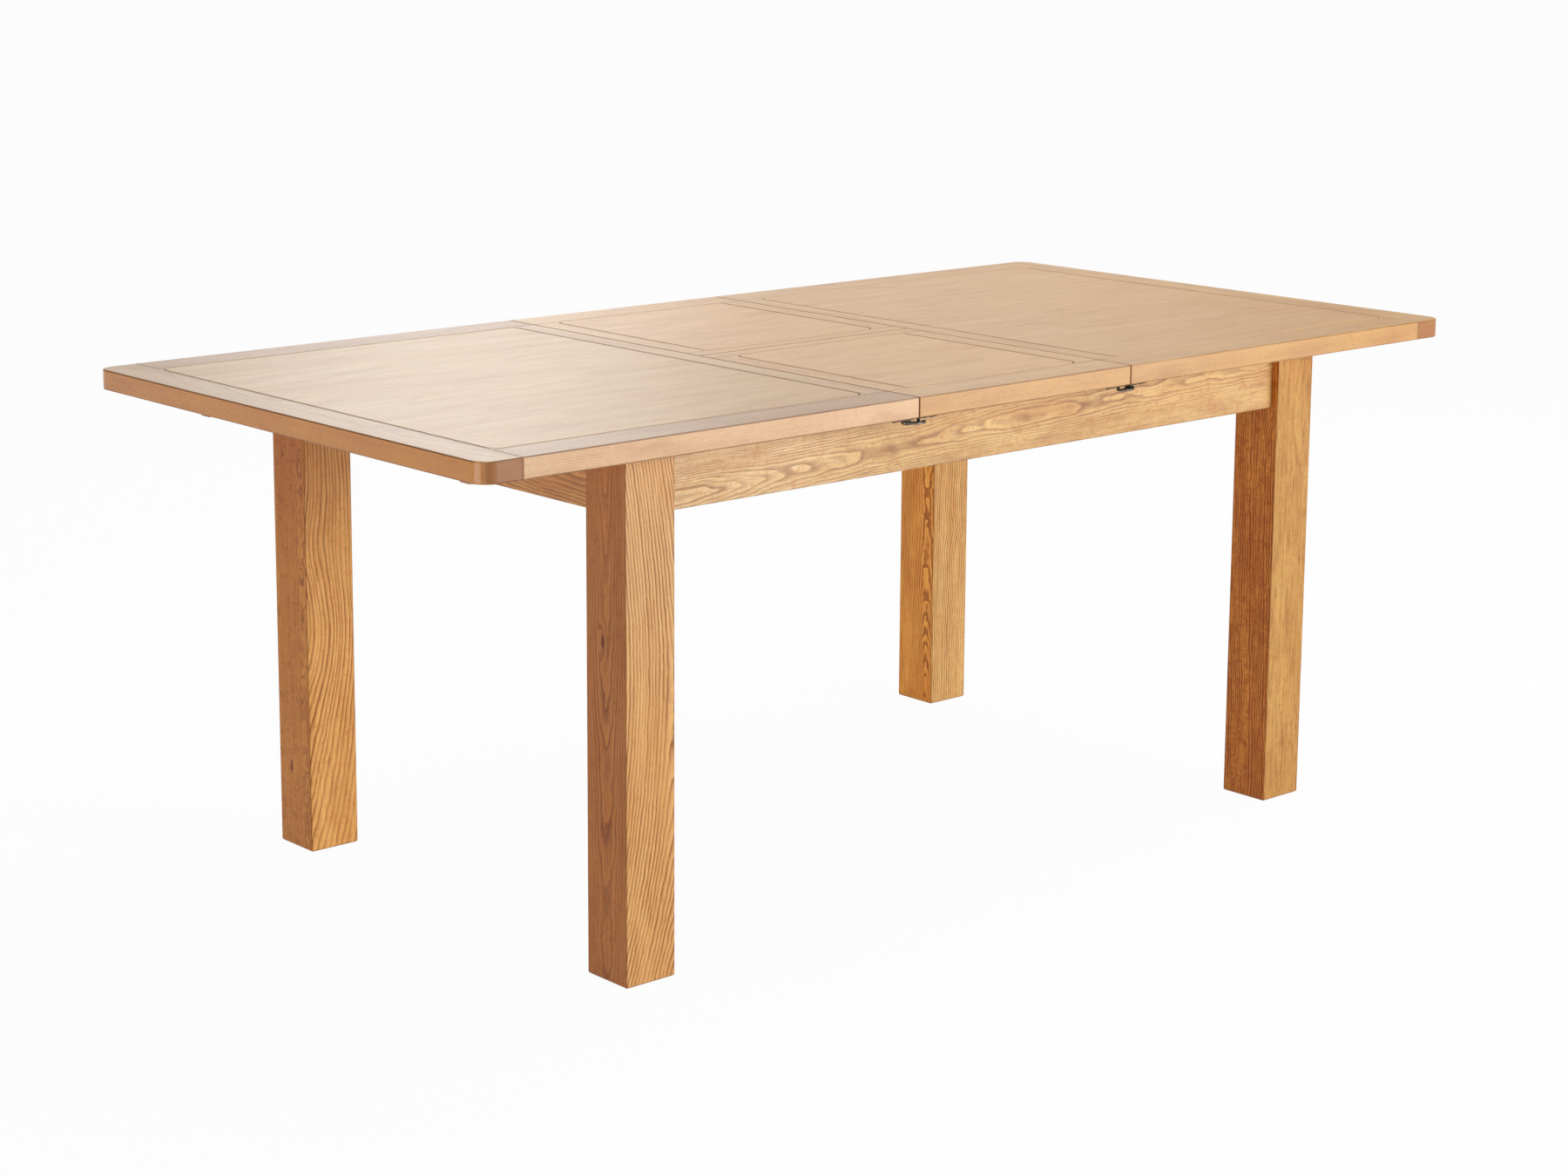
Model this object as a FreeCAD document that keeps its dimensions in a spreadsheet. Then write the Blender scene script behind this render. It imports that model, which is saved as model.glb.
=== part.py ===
import FreeCAD, Part
import math
import os

import Sketcher
from FreeCAD import Placement, Rotation, Vector

# An extending table in millimetres: two end tops that slide apart on wooden runners, a
# loose leaf of two folding halves between them, and a frame with four square legs.
# +X runs along the table to the right, +Y to the back, +Z up. The origin is on the
# floor, under the centre. The leaf lies flat in the opening.

doc = FreeCAD.newDocument("ExtendingTable")
sheet = doc.addObject("Spreadsheet::Sheet", "Dimensions")
upright = Vector(0, 0, 1)


class Size:
    # a length as a spreadsheet formula, with its present value beside it
    def __init__(self, formula, value):
        self.formula = formula
        self.value = float(value)

    def __add__(self, other):
        return joined(self, "+", other, self.value + sizeOf(other).value)

    def __radd__(self, other):
        return sizeOf(other) + self

    def __sub__(self, other):
        return joined(self, "-", other, self.value - sizeOf(other).value)

    def __rsub__(self, other):
        return sizeOf(other) - self

    def __mul__(self, other):
        return joined(self, "*", other, self.value * sizeOf(other).value)

    def __rmul__(self, other):
        return sizeOf(other) * self

    def __truediv__(self, other):
        return joined(self, "/", other, self.value / sizeOf(other).value)

    def __neg__(self):
        return sizeOf(-1) * self


def sizeOf(thing):
    if isinstance(thing, Size):
        return thing
    return Size(f"({thing})", thing)


def joined(first, sign, second, value):
    return Size(f"({first.formula} {sign} {sizeOf(second).formula})", value)


def dimension(alias, value):
    # one driving dimension: its name in column A and its value in column B
    dimension.row += 1
    sheet.set(f"A{dimension.row}", alias)
    sheet.set(f"B{dimension.row}", str(value))
    sheet.setAlias(f"B{dimension.row}", alias)
    return Size(f"Dimensions.{alias}", value)


dimension.row = 0

# the whole table
tableHeight = dimension("tableHeight", 770)
tableWidth = dimension("tableWidth", 960)
endTopLength = dimension("endTopLength", 760)
leafLength = dimension("leafLength", 440)
topThickness = dimension("topThickness", 30)
topGap = dimension("topGap", 0.5)
jointGap = dimension("jointGap", 0.5)
seamGap = dimension("seamGap", 0.5)

# boards of the top
borderWidth = dimension("borderWidth", 65)
lippingWidth = dimension("lippingWidth", 40)
seamRailWidth = dimension("seamRailWidth", 30)
cornerRadius = dimension("cornerRadius", 25)
arrisRadius = dimension("arrisRadius", 2)
jointChamfer = dimension("jointChamfer", 1.2)
grooveFloor = dimension("grooveFloor", 1)
grooveDepth = dimension("grooveDepth", 2)
grooveBevel = dimension("grooveBevel", 1)
grooveInset = dimension("grooveInset", 2.6)
grooveCorner = dimension("grooveCorner", 16)

# legs and aprons
legWidth = dimension("legWidth", 85)
legFaceX = dimension("legFaceX", 710)
legFaceY = dimension("legFaceY", 430)
legArris = dimension("legArris", 1.5)
footChamfer = dimension("footChamfer", 2.5)
legFlat = dimension("legFlat", 14)
apronHeight = dimension("apronHeight", 88)
apronThickness = dimension("apronThickness", 22)
apronSetBack = dimension("apronSetBack", 12)
apronArris = dimension("apronArris", 1)

# corner blocks, bolts and screws
# (blockGap and blockThickness are measured along x, not square to the block's slanting faces)
blockGap = dimension("blockGap", 14)
blockThickness = dimension("blockThickness", 31)
blockHeight = dimension("blockHeight", 40)
blockLift = dimension("blockLift", 4)
boltRadius = dimension("boltRadius", 4)
boltClearRadius = dimension("boltClearRadius", 4.5)
boltLength = dimension("boltLength", 100)
boltSpacing = dimension("boltSpacing", 22)
boltTail = dimension("boltTail", 14)
boltChamfer = dimension("boltChamfer", 1)
nutHeight = dimension("nutHeight", 8)
nutRadius = dimension("nutRadius", 7.5)
flangeRadius = dimension("flangeRadius", 9)
flangeHeight = dimension("flangeHeight", 1.5)
screwRadius = dimension("screwRadius", 2)
screwLength = dimension("screwLength", 30)
screwHeadRadius = dimension("screwHeadRadius", 4)
screwHeadHeight = dimension("screwHeadHeight", 2.4)
counterbore = dimension("counterbore", 4.5)
seatReach = dimension("seatReach", 22.5)
wingOffset = dimension("wingOffset", 23)
wingInset = dimension("wingInset", 8)
tipCover = dimension("tipCover", 4)

# runners, guide rails and the bearers under the stowed leaf
guideRailY = dimension("guideRailY", 300)
guideRailWidth = dimension("guideRailWidth", 20)
guideRailHeight = dimension("guideRailHeight", 44)
trackDepth = dimension("trackDepth", 6)
trackDrop = dimension("trackDrop", 17.5)
tongueHeight = dimension("tongueHeight", 12)
tongueProud = dimension("tongueProud", 6)
slideGap = dimension("slideGap", 0.3)
runnerGap = dimension("runnerGap", 1)
runnerWidth = dimension("runnerWidth", 22)
runnerHeight = dimension("runnerHeight", 31)
runnerSetBack = dimension("runnerSetBack", 88)
runnerLeafDrop = dimension("runnerLeafDrop", 0.7)
reliefPastJoint = dimension("reliefPastJoint", 1)
runnerScrewStart = dimension("runnerScrewStart", 80)
runnerScrewStep = dimension("runnerScrewStep", 140)
releaseTravel = dimension("releaseTravel", 40)
stopLength = dimension("stopLength", 30)
stopDrop = dimension("stopDrop", 19)
stopGap = dimension("stopGap", 0.5)
bearerX = dimension("bearerX", 150)
bearerThickness = dimension("bearerThickness", 20)
bearerFloor = dimension("bearerFloor", 14)
wellHalfWidth = dimension("wellHalfWidth", 248)
housingDepth = dimension("housingDepth", 6)

# table locks under the joints
lockInset = dimension("lockInset", 14)
lockPlateLength = dimension("lockPlateLength", 42)
lockPlateWidth = dimension("lockPlateWidth", 18)
lockPlateThickness = dimension("lockPlateThickness", 2)
lockPlateCorner = dimension("lockPlateCorner", 4)
plateFromJoint = dimension("plateFromJoint", 2)
pinFromJoint = dimension("pinFromJoint", 12)
keeperRadius = dimension("keeperRadius", 2.5)
keeperLength = dimension("keeperLength", 7.6)
leverThickness = dimension("leverThickness", 3)
leverHang = dimension("leverHang", 3.6)
leverPlay = dimension("leverPlay", 0.3)
leverChamfer = dimension("leverChamfer", 0.4)
bossRadius = dimension("bossRadius", 7)
slotPlay = dimension("slotPlay", 0.5)
pivotRadius = dimension("pivotRadius", 3)
pivotClear = dimension("pivotClear", 0.05)
pivotHeadRadius = dimension("pivotHeadRadius", 5)
pivotHeadHeight = dimension("pivotHeadHeight", 1.3)
pinRound = dimension("pinRound", 1)
collarRadius = dimension("collarRadius", 6.5)
crescentOuter = dimension("crescentOuter", 21)
crescentInner = dimension("crescentInner", 10)
crescentDrop = dimension("crescentDrop", 9)
leverRestTurn = dimension("leverRestTurn", 18)
plateScrewRadius = dimension("plateScrewRadius", 1.75)
plateScrewLength = dimension("plateScrewLength", 14)
plateScrewHeadRadius = dimension("plateScrewHeadRadius", 3.8)
plateScrewHeadHeight = dimension("plateScrewHeadHeight", 2.2)
plateScrewStep = dimension("plateScrewStep", 12)
pinToScrew = dimension("pinToScrew", 12)

# concealed hinges in the leaf's seam
foldAxisRise = dimension("foldAxisRise", 0.2)
barrelRadius = dimension("barrelRadius", 8)
barrelLength = dimension("barrelLength", 15)
barrelDepth = dimension("barrelDepth", 10)
barrelSlot = dimension("barrelSlot", 7)
barrelFloor = dimension("barrelFloor", 0.8)
slotClearance = dimension("slotClearance", 0.7)
hingeSpacing = dimension("hingeSpacing", 140)
linkOuter = dimension("linkOuter", 13.5)
linkInner = dimension("linkInner", 10.5)
linkWidth = dimension("linkWidth", 6)

doc.recompute()

halfWidth = tableWidth / 2
topUnderside = tableHeight - topThickness
frameTop = topUnderside - topGap
apronBottom = frameTop - apronHeight
jointX = leafLength / 2
tableEndX = jointX + endTopLength
leafEndX = jointX - jointGap
seamY = seamGap / 2
legInnerX = legFaceX - legWidth
legInnerY = legFaceY - legWidth
apronFaceX = legFaceX - apronSetBack
apronFaceY = legFaceY - apronSetBack
apronInnerX = apronFaceX - apronThickness
apronInnerY = apronFaceY - apronThickness
blockBottom = apronBottom + blockLift
guideRailBottom = frameTop - guideRailHeight
runnerBottom = topUnderside - runnerHeight
panelInnerY = halfWidth - borderWidth
lockY = halfWidth - lockInset
screwFloor = guideRailBottom - screwLength / 2
runnerScrewFloor = topUnderside - screwLength / 2 - screwHeadHeight

# plain numbers: how close counts as the same place, how far a cutter overruns, angles in degrees
sameWithin = 0.01
insideBy = 0.1
overrun = 1
runnerScrewCount = 5
nutSides = 6
headCrown = 0.8
headSide = 0.6
tipSlope = 2
linkHalfTurn = 70
crescentTurns = (26, 160)
slotTurns = (172, 210)

pieces = {}


# --- shared makers ---

def bind(thing, name, size):
    thing.setExpression(name, sizeOf(size).formula)


def place(thing, x, y, z, turn=None):
    # sets the base of a placement from the sheet, with a fixed turn if one is given
    if turn:
        thing.Placement = Placement(Vector(0, 0, 0), turn)
    for axis, size in (("x", x), ("y", y), ("z", z)):
        bind(thing, f"Placement.Base.{axis}", size)


def newBody(name):
    body = doc.addObject("PartDesign::Body", name)
    body.Label = name
    body.AllowCompound = True
    return body


def originFeature(body, role):
    return [item for item in body.Origin.OriginFeatures if item.Role == role][0]


def newSketch(body, plane="XY_Plane", offset=0):
    sketch = body.newObject("Sketcher::SketchObject", f"{body.Name}_sketch")
    sketch.AttachmentSupport = [(originFeature(body, plane), "")]
    sketch.MapMode = "FlatFace"
    bind(sketch, "AttachmentOffset.Base.z", offset)
    return sketch


def fix(sketch, geometry, end, x, y):
    # holds a line's end or a circle's centre at x, y from the sketch's origin
    for kind, size in (("DistanceX", sizeOf(x)), ("DistanceY", sizeOf(y))):
        number = sketch.addConstraint(Sketcher.Constraint(kind, -1, 1, geometry, end, size.value))
        sketch.setExpression(f"Constraints[{number}]", size.formula)


def holdRadius(sketch, geometry, radius):
    size = sizeOf(radius)
    number = sketch.addConstraint(Sketcher.Constraint("Radius", geometry, size.value))
    sketch.setExpression(f"Constraints[{number}]", size.formula)


def outline(sketch, points, bends=None):
    # a closed run of lines through the points; bends gives (radius, centre) for each side
    # that is an arc, keyed by the number of the point where the side starts
    bends = bends or {}
    first = sketch.GeometryCount
    spots = [Vector(sizeOf(x).value, sizeOf(y).value, 0) for x, y in points]
    ends = []
    for n, start in enumerate(spots):
        finish = spots[(n + 1) % len(spots)]
        if n not in bends:
            sketch.addGeometry(Part.LineSegment(start, finish))
            ends.append((1, 2))
            continue
        radius, (cx, cy), anticlockwise = bends[n]
        centre = Vector(sizeOf(cx).value, sizeOf(cy).value, 0)
        low, high = (start, finish) if anticlockwise else (finish, start)
        angles = [math.atan2(p.y - centre.y, p.x - centre.x) for p in (low, high)]
        circle = Part.Circle(centre, upright, sizeOf(radius).value)
        sketch.addGeometry(Part.ArcOfCircle(circle, *angles))
        ends.append((1, 2) if anticlockwise else (2, 1))
    for n, (x, y) in enumerate(points):
        after = (n + 1) % len(points)
        join = Sketcher.Constraint("Coincident", first + n, ends[n][1], first + after, ends[after][0])
        sketch.addConstraint(join)
        fix(sketch, first + n, ends[n][0], x, y)
        if n in bends:
            holdRadius(sketch, first + n, bends[n][0])


def rectangle(sketch, left, right, low, high):
    outline(sketch, [(left, low), (right, low), (right, high), (left, high)])


def roundedRectangle(sketch, left, right, low, high, radius):
    r = radius
    points = [(left + r, low), (right - r, low), (right, low + r), (right, high - r),
              (right - r, high), (left + r, high), (left, high - r), (left, low + r)]
    bends = {
        1: (r, (right - r, low + r), True),
        3: (r, (right - r, high - r), True),
        5: (r, (left + r, high - r), True),
        7: (r, (left + r, low + r), True),
    }
    outline(sketch, points, bends)


def circles(sketch, centres, radius):
    for x, y in centres:
        middle = Vector(sizeOf(x).value, sizeOf(y).value, 0)
        number = sketch.addGeometry(Part.Circle(middle, upright, sizeOf(radius).value))
        fix(sketch, number, 3, x, y)
        holdRadius(sketch, number, radius)


def pad(body, sketch, length, symmetric=False, backwards=False):
    feature = body.newObject("PartDesign::Pad", f"{body.Name}_pad")
    feature.Profile = sketch
    bind(feature, "Length", length)
    if symmetric:
        feature.SideType = "Symmetric"
    feature.Reversed = backwards
    doc.recompute()
    return feature


def pocket(body, sketch, depth, backwards=False):
    # cuts away from the sketch's normal, or along it if backwards
    before = body.Tip.Shape.Volume
    feature = body.newObject("PartDesign::Pocket", f"{body.Name}_pocket")
    feature.Profile = sketch
    bind(feature, "Length", depth)
    feature.Reversed = backwards
    doc.recompute()
    if feature.Shape.Volume > before - sameWithin:
        raise RuntimeError(f"{feature.Name} cuts nothing")
    return feature


def ease(body, kind, size, chosen):
    # rounds or bevels the edges of the body that the test picks out
    base = body.Tip
    names = [f"Edge{n}" for n, edge in enumerate(base.Shape.Edges, 1) if chosen(edge)]
    feature = body.newObject(f"PartDesign::{kind}", f"{body.Name}_{kind}")
    feature.Base = (base, names)
    bind(feature, "Radius" if kind == "Fillet" else "Size", size)
    doc.recompute()
    return feature


def lowOf(edge, axis):
    box = edge.BoundBox
    return (box.XMin, box.YMin, box.ZMin)["xyz".index(axis)]


def highOf(edge, axis):
    box = edge.BoundBox
    return (box.XMax, box.YMax, box.ZMax)["xyz".index(axis)]


def lies(edge, axis, size):
    # the whole edge is at this value of x, y or z
    value = sizeOf(size).value
    low, high = lowOf(edge, axis), highOf(edge, axis)
    return abs(low - value) < sameWithin and abs(high - value) < sameWithin


def runs(edge, axis):
    # a straight edge along x, y or z
    return all(lies(edge, other, lowOf(edge, other)) for other in "xyz" if other != axis)


def board(name, left, right, front, back, low, high):
    # a straight board between six planes, sketched from above
    body = newBody(name)
    sketch = newSketch(body)
    rectangle(sketch, left, right, front, back)
    pad(body, sketch, high - low)
    place(body, 0, 0, low)
    return body


def mirrored(name, source, normal):
    twin = doc.addObject("Part::Mirroring", name)
    twin.Label = name
    twin.Source = source
    twin.Normal = normal
    return twin


acrossX = Vector(1, 0, 0)
acrossY = Vector(0, 1, 0)


def keep(name, thing):
    thing.Label = name
    pieces[name] = thing
    return thing


def keepLeftRight(pattern, right):
    # the right one as drawn, and its mirror image on the left
    name = pattern.format(side="right")
    keep(name, right)
    twin = pattern.format(side="left")
    keep(twin, mirrored(twin, right, acrossX))


def keepFrontBack(pattern, back):
    name = pattern.format(side="back")
    keep(name, back)
    twin = pattern.format(side="front")
    keep(twin, mirrored(twin, back, acrossY))


def keepFourCorners(pattern, source):
    # drawn at the back right, mirrored to the other three corners
    keep(pattern.format(corner="back_right"), source)
    left = mirrored(pattern.format(corner="back_left"), source, acrossX)
    keep(pattern.format(corner="back_left"), left)
    for corner, original in (("front_right", source), ("front_left", left)):
        name = pattern.format(corner=corner)
        keep(name, mirrored(name, original, acrossY))


def compound(name, parts):
    group = doc.addObject("Part::Compound", name)
    group.Links = parts
    return group


def inFourCorners(name, quarter):
    # a group of loose solids: the quarter at the back right and its three images
    right = compound(f"{name}_right", [quarter, mirrored(f"{name}_front", quarter, acrossY)])
    return compound(name, [right, mirrored(f"{name}_left", right, acrossX)])


def copies(name, template, spots):
    # links to one template, each at its own place and turn
    links = []
    for n, (x, y, z, turn) in enumerate(spots, 1):
        link = doc.addObject("App::Link", f"{name}_{n}")
        link.LinkedObject = template
        place(link, x, y, z, turn)
        links.append(link)
    return compound(name, links)


def bored(name, body, tools):
    cut = doc.addObject("Part::Cut", name)
    body.Label = f"{name} undrilled"
    cut.Base = body
    cut.Tool = compound(f"{name}_bores", tools)
    return cut


def bore(name, radius, length, x, y, z, turn=None):
    tool = doc.addObject("Part::Cylinder", name)
    bind(tool, "Radius", radius)
    bind(tool, "Height", length)
    place(tool, x, y, z, turn)
    return tool


alongX = Rotation(Vector(0, 1, 0), 90)
alongY = Rotation(Vector(1, 0, 0), -90)
alongDiagonal = Rotation(Vector(-1, 1, 0), 90)
unturned = None


# --- screws, bolts and nuts, each drawn once standing on the origin ---

def screw(name, radius, length, headRadius, headHeight):
    # the shank runs up +Z from the origin, the head hangs below it
    body = newBody(name)
    sketch = newSketch(body, "XZ_Plane")
    tip = radius * tipSlope
    outline(sketch, [(0, -headHeight), (headRadius * headCrown, -headHeight),
                     (headRadius, -headHeight * headSide), (headRadius, 0), (radius, 0),
                     (radius, length - tip), (0, length)])
    turned = body.newObject("PartDesign::Revolution", f"{name}_turned")
    turned.Profile = sketch
    turned.ReferenceAxis = (sketch, ["V_Axis"])
    turned.Angle = 360
    doc.recompute()
    return body


woodScrew = screw("wood_screw", screwRadius, screwLength, screwHeadRadius, screwHeadHeight)
plateScrew = screw("plate_screw", plateScrewRadius, plateScrewLength, plateScrewHeadRadius,
                   plateScrewHeadHeight)


def hangerBolt():
    body = newBody("hanger_bolt")
    sketch = newSketch(body)
    circles(sketch, [(0, 0)], boltRadius)
    pad(body, sketch, boltLength)
    ease(body, "Chamfer", boltChamfer, lambda edge: lies(edge, "z", 0) or lies(edge, "z", boltLength))
    return body


def flangeNut():
    # a six-sided nut on a round flange, its seat on the origin and its body below
    body = newBody("flange_nut")
    flange = newSketch(body)
    circles(flange, [(0, 0)], flangeRadius)
    circles(flange, [(0, 0)], boltRadius)
    pad(body, flange, flangeHeight, backwards=True)
    hexagon = newSketch(body)
    corners = []
    for n in range(nutSides):
        angle = math.tau * n / nutSides
        corners.append((nutRadius * math.cos(angle), nutRadius * math.sin(angle)))
    outline(hexagon, corners)
    circles(hexagon, [(0, 0)], boltRadius)
    pad(body, hexagon, nutHeight, backwards=True)
    return body


# --- the frame: legs, aprons, corner blocks and what bolts them together ---

# The corner bolts lie on the diagonal through the leg's inner corner.
halfTurn = math.sqrt(0.5)
diagonalShift = (legInnerX - legInnerY) / 2
blockOuter = legInnerX + legInnerY - blockGap
blockInner = blockOuter - blockThickness
nutSeat = blockInner / 2
boltStart = nutSeat - boltTail * halfTurn
boltLow = blockBottom + (blockHeight - boltSpacing) / 2
boltLevels = [boltLow, boltLow + boltSpacing]

# the screws through the block's two wings stand square to the aprons
wingX = blockInner + wingOffset - apronInnerY
wingY = blockInner + wingOffset - apronInnerX
wingSeatX = apronFaceX - tipCover - screwLength
wingSeatY = apronFaceY - tipCover - screwLength
wingLevels = [blockBottom + wingInset, blockBottom + blockHeight - wingInset]
blockScrewX = (blockInner + blockOuter) / 2 - guideRailY


def diagonalSpots(along):
    return [(along + diagonalShift, along - diagonalShift, level, alongDiagonal) for level in boltLevels]


def leg():
    body = board("leg_blank", legInnerX, legFaceX, legInnerY, legFaceY, 0, frameTop)
    ease(body, "Chamfer", footChamfer, lambda edge: lies(edge, "z", 0))
    ease(body, "Fillet", legArris, lambda edge: runs(edge, "z"))
    # the inner corner is planed flat behind the corner block
    flat = newSketch(body, offset=frameTop)
    startX = legInnerX - overrun
    startY = legInnerY - overrun
    outline(flat, [(startX, startY), (legInnerX + legFlat + overrun, startY),
                   (startX, legInnerY + legFlat + overrun)])
    pocket(body, flat, apronHeight)
    tools = [bore(f"leg_bore_{n}", boltRadius, boltLength, *spot)
             for n, spot in enumerate(diagonalSpots(boltStart), 1)]
    return bored("leg", body, tools)


def sideApron():
    back = apronFaceY
    body = board("apron_blank", -legInnerX, legInnerX, apronInnerY, back, apronBottom, frameTop)
    ease(body, "Chamfer", apronArris, lambda edge: runs(edge, "x") and lies(edge, "z", 0))
    # housings for the bearers, open at the bottom edge
    housing = newSketch(body)
    for side in (-1, 1):
        middle = bearerX * side
        rectangle(housing, middle - bearerThickness / 2, middle + bearerThickness / 2,
                  apronInnerY - overrun, apronInnerY + housingDepth)
    pocket(body, housing, guideRailBottom - apronBottom, backwards=True)
    tools = []
    for side in (-1, 1):
        for level in wingLevels:
            tools.append(bore(f"side_bore_{len(tools)}", screwRadius, screwLength,
                              wingX * side, wingSeatY, level, alongY))
    return bored("side_apron", body, tools)


def endApron(name, runnerY):
    # notched at the top where one pair of runners passes
    body = board(f"{name}_blank", apronInnerX, apronFaceX, -legInnerY, legInnerY, apronBottom, frameTop)
    ease(body, "Chamfer", apronArris, lambda edge: runs(edge, "y") and lies(edge, "z", 0))
    notch = newSketch(body, offset=apronHeight)
    for side in (-1, 1):
        low = runnerY * side - runnerWidth / 2 - runnerGap
        high = runnerY * side + runnerWidth / 2 + runnerGap
        rectangle(notch, apronInnerX - overrun, apronFaceX + overrun, low, high)
    pocket(body, notch, runnerHeight + runnerGap)
    tools = []
    for side in (-1, 1):
        for level in wingLevels:
            tools.append(bore(f"{name}_bore_{len(tools)}", screwRadius, screwLength,
                              wingSeatX, wingY * side, level, alongX))
    return bored(name, body, tools)


def cornerBlock():
    body = newBody("block_blank")
    sketch = newSketch(body)
    outline(sketch, [(blockOuter - apronInnerY, apronInnerY), (blockInner - apronInnerY, apronInnerY),
                     (apronInnerX, blockInner - apronInnerX), (apronInnerX, blockOuter - apronInnerX)])
    pad(body, sketch, blockHeight)
    place(body, 0, 0, blockBottom)
    tools = []
    for spot in diagonalSpots(boltStart):
        tools.append(bore(f"block_bolt_{len(tools)}", boltClearRadius, boltLength, *spot))
    for level in wingLevels:
        sideSpot = (wingX, wingSeatY, level, alongY)
        endSpot = (wingSeatX, wingY, level, alongX)
        tools.append(bore(f"block_side_{len(tools)}", screwRadius, screwLength, *sideSpot))
        tools.append(bore(f"block_end_{len(tools)}", screwRadius, screwLength, *endSpot))
        tools.append(bore(f"block_side_seat_{len(tools)}", counterbore, seatReach,
                          wingX, wingSeatY - seatReach, level, alongY))
        tools.append(bore(f"block_end_seat_{len(tools)}", counterbore, seatReach,
                          wingSeatX - seatReach, wingY, level, alongX))
    tools.append(bore("block_rail_bore", screwRadius, screwLength, blockScrewX, guideRailY, screwFloor))
    tools.append(bore("block_rail_seat", counterbore, screwFloor - blockBottom + overrun,
                      blockScrewX, guideRailY, blockBottom - overrun))
    return bored("corner_block", body, tools)


def guideRail():
    # a straight rail with a track down each side for the runners' tongues
    body = newBody("rail_blank")
    sketch = newSketch(body, "YZ_Plane", -apronInnerX)
    front = guideRailY - guideRailWidth / 2
    back = guideRailY + guideRailWidth / 2
    trackLow = frameTop - trackDrop - tongueHeight / 2 - slideGap
    trackHigh = frameTop - trackDrop + tongueHeight / 2 + slideGap
    outline(sketch, [
        (front, guideRailBottom), (back, guideRailBottom), (back, trackLow), (back - trackDepth, trackLow),
        (back - trackDepth, trackHigh), (back, trackHigh), (back, frameTop), (front, frameTop),
        (front, trackHigh), (front + trackDepth, trackHigh), (front + trackDepth, trackLow),
        (front, trackLow)])
    pad(body, sketch, apronInnerX * 2)
    tools = []
    for x in (blockScrewX, bearerX):
        for side in (-1, 1):
            tools.append(bore(f"rail_bore_{len(tools)}", screwRadius, screwLength,
                              x * side, guideRailY, screwFloor))
    return bored("guide_rail", body, tools)


def bearer():
    # a cross rail between the side aprons, cut down in the middle where the leaf is stowed
    body = newBody("bearer_blank")
    sketch = newSketch(body, "YZ_Plane", bearerX - bearerThickness / 2)
    end = apronInnerY + housingDepth
    floor = apronBottom + bearerFloor
    outline(sketch, [(-end, apronBottom), (end, apronBottom), (end, guideRailBottom),
                     (wellHalfWidth, guideRailBottom), (wellHalfWidth, floor), (-wellHalfWidth, floor),
                     (-wellHalfWidth, guideRailBottom), (-end, guideRailBottom)])
    pad(body, sketch, bearerThickness)
    tools = []
    for side in (-1, 1):
        spotY = guideRailY * side
        tools.append(bore(f"bearer_bore_{len(tools)}", screwRadius, screwLength, bearerX, spotY, screwFloor))
        tools.append(bore(f"bearer_seat_{len(tools)}", counterbore, screwFloor - apronBottom + overrun,
                          bearerX, spotY, apronBottom - overrun))
    return bored("bearer", body, tools)


keepFourCorners("leg_{corner}", leg())
keepFrontBack("apron_{side}", sideApron())
runnerFromRail = guideRailWidth / 2 + runnerGap + runnerWidth / 2
outerRunnerY = guideRailY + runnerFromRail
innerRunnerY = guideRailY - runnerFromRail
keep("apron_right", endApron("apron_right", innerRunnerY))
outerNotched = endApron("outer_notched", outerRunnerY)
keep("apron_left", mirrored("apron_left", outerNotched, acrossX))
keepFourCorners("corner_block_{corner}", cornerBlock())
keepFrontBack("guide_rail_{side}", guideRail())
keepLeftRight("leaf_bearer_{side}", bearer())

boltQuarter = copies("bolt_quarter", hangerBolt(), diagonalSpots(boltStart))
keep("hanger_bolts", inFourCorners("hanger_bolts", boltQuarter))
nutQuarter = copies("nut_quarter", flangeNut(), diagonalSpots(nutSeat))
keep("bolt_nuts", inFourCorners("bolt_nuts", nutQuarter))

frameScrewSpots = [(blockScrewX, guideRailY, screwFloor, unturned),
                   (bearerX, guideRailY, screwFloor, unturned)]
for wingLevel in wingLevels:
    frameScrewSpots.append((wingX, wingSeatY, wingLevel, alongY))
    frameScrewSpots.append((wingSeatX, wingY, wingLevel, alongX))
screwQuarter = copies("screw_quarter", woodScrew, frameScrewSpots)
keep("frame_screws", inFourCorners("frame_screws", screwQuarter))


# --- the two end tops: a panel with a routed line, framed by end board, rails and lipping ---

def groove(body, left, right, low, high):
    # a fine bevelled line just inside the panel's edge
    inner = grooveInset + grooveFloor / 2
    outer = grooveInset - grooveFloor / 2
    ring = newSketch(body, offset=topThickness)
    for inset, radius in ((outer, grooveCorner + grooveFloor), (inner, sizeOf(grooveCorner))):
        roundedRectangle(ring, left + inset, right - inset, low + inset, high - inset, radius)
    pocket(body, ring, grooveDepth)
    ends = [sizeOf(side).value for side in (left, right, low, high)]

    def onTheLine(edge):
        insideX = lowOf(edge, "x") > ends[0] + insideBy and highOf(edge, "x") < ends[1] - insideBy
        insideY = lowOf(edge, "y") > ends[2] + insideBy and highOf(edge, "y") < ends[3] - insideBy
        return lies(edge, "z", topThickness) and insideX and insideY

    ease(body, "Chamfer", grooveBevel, onTheLine)


def pilotHoles(body, centres, radius, depth):
    # blind holes in the underside
    sketch = newSketch(body)
    circles(sketch, centres, radius)
    pocket(body, sketch, depth, backwards=True)


runnerScrewXs = [jointX + runnerScrewStart + runnerScrewStep * n for n in range(runnerScrewCount)]


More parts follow.
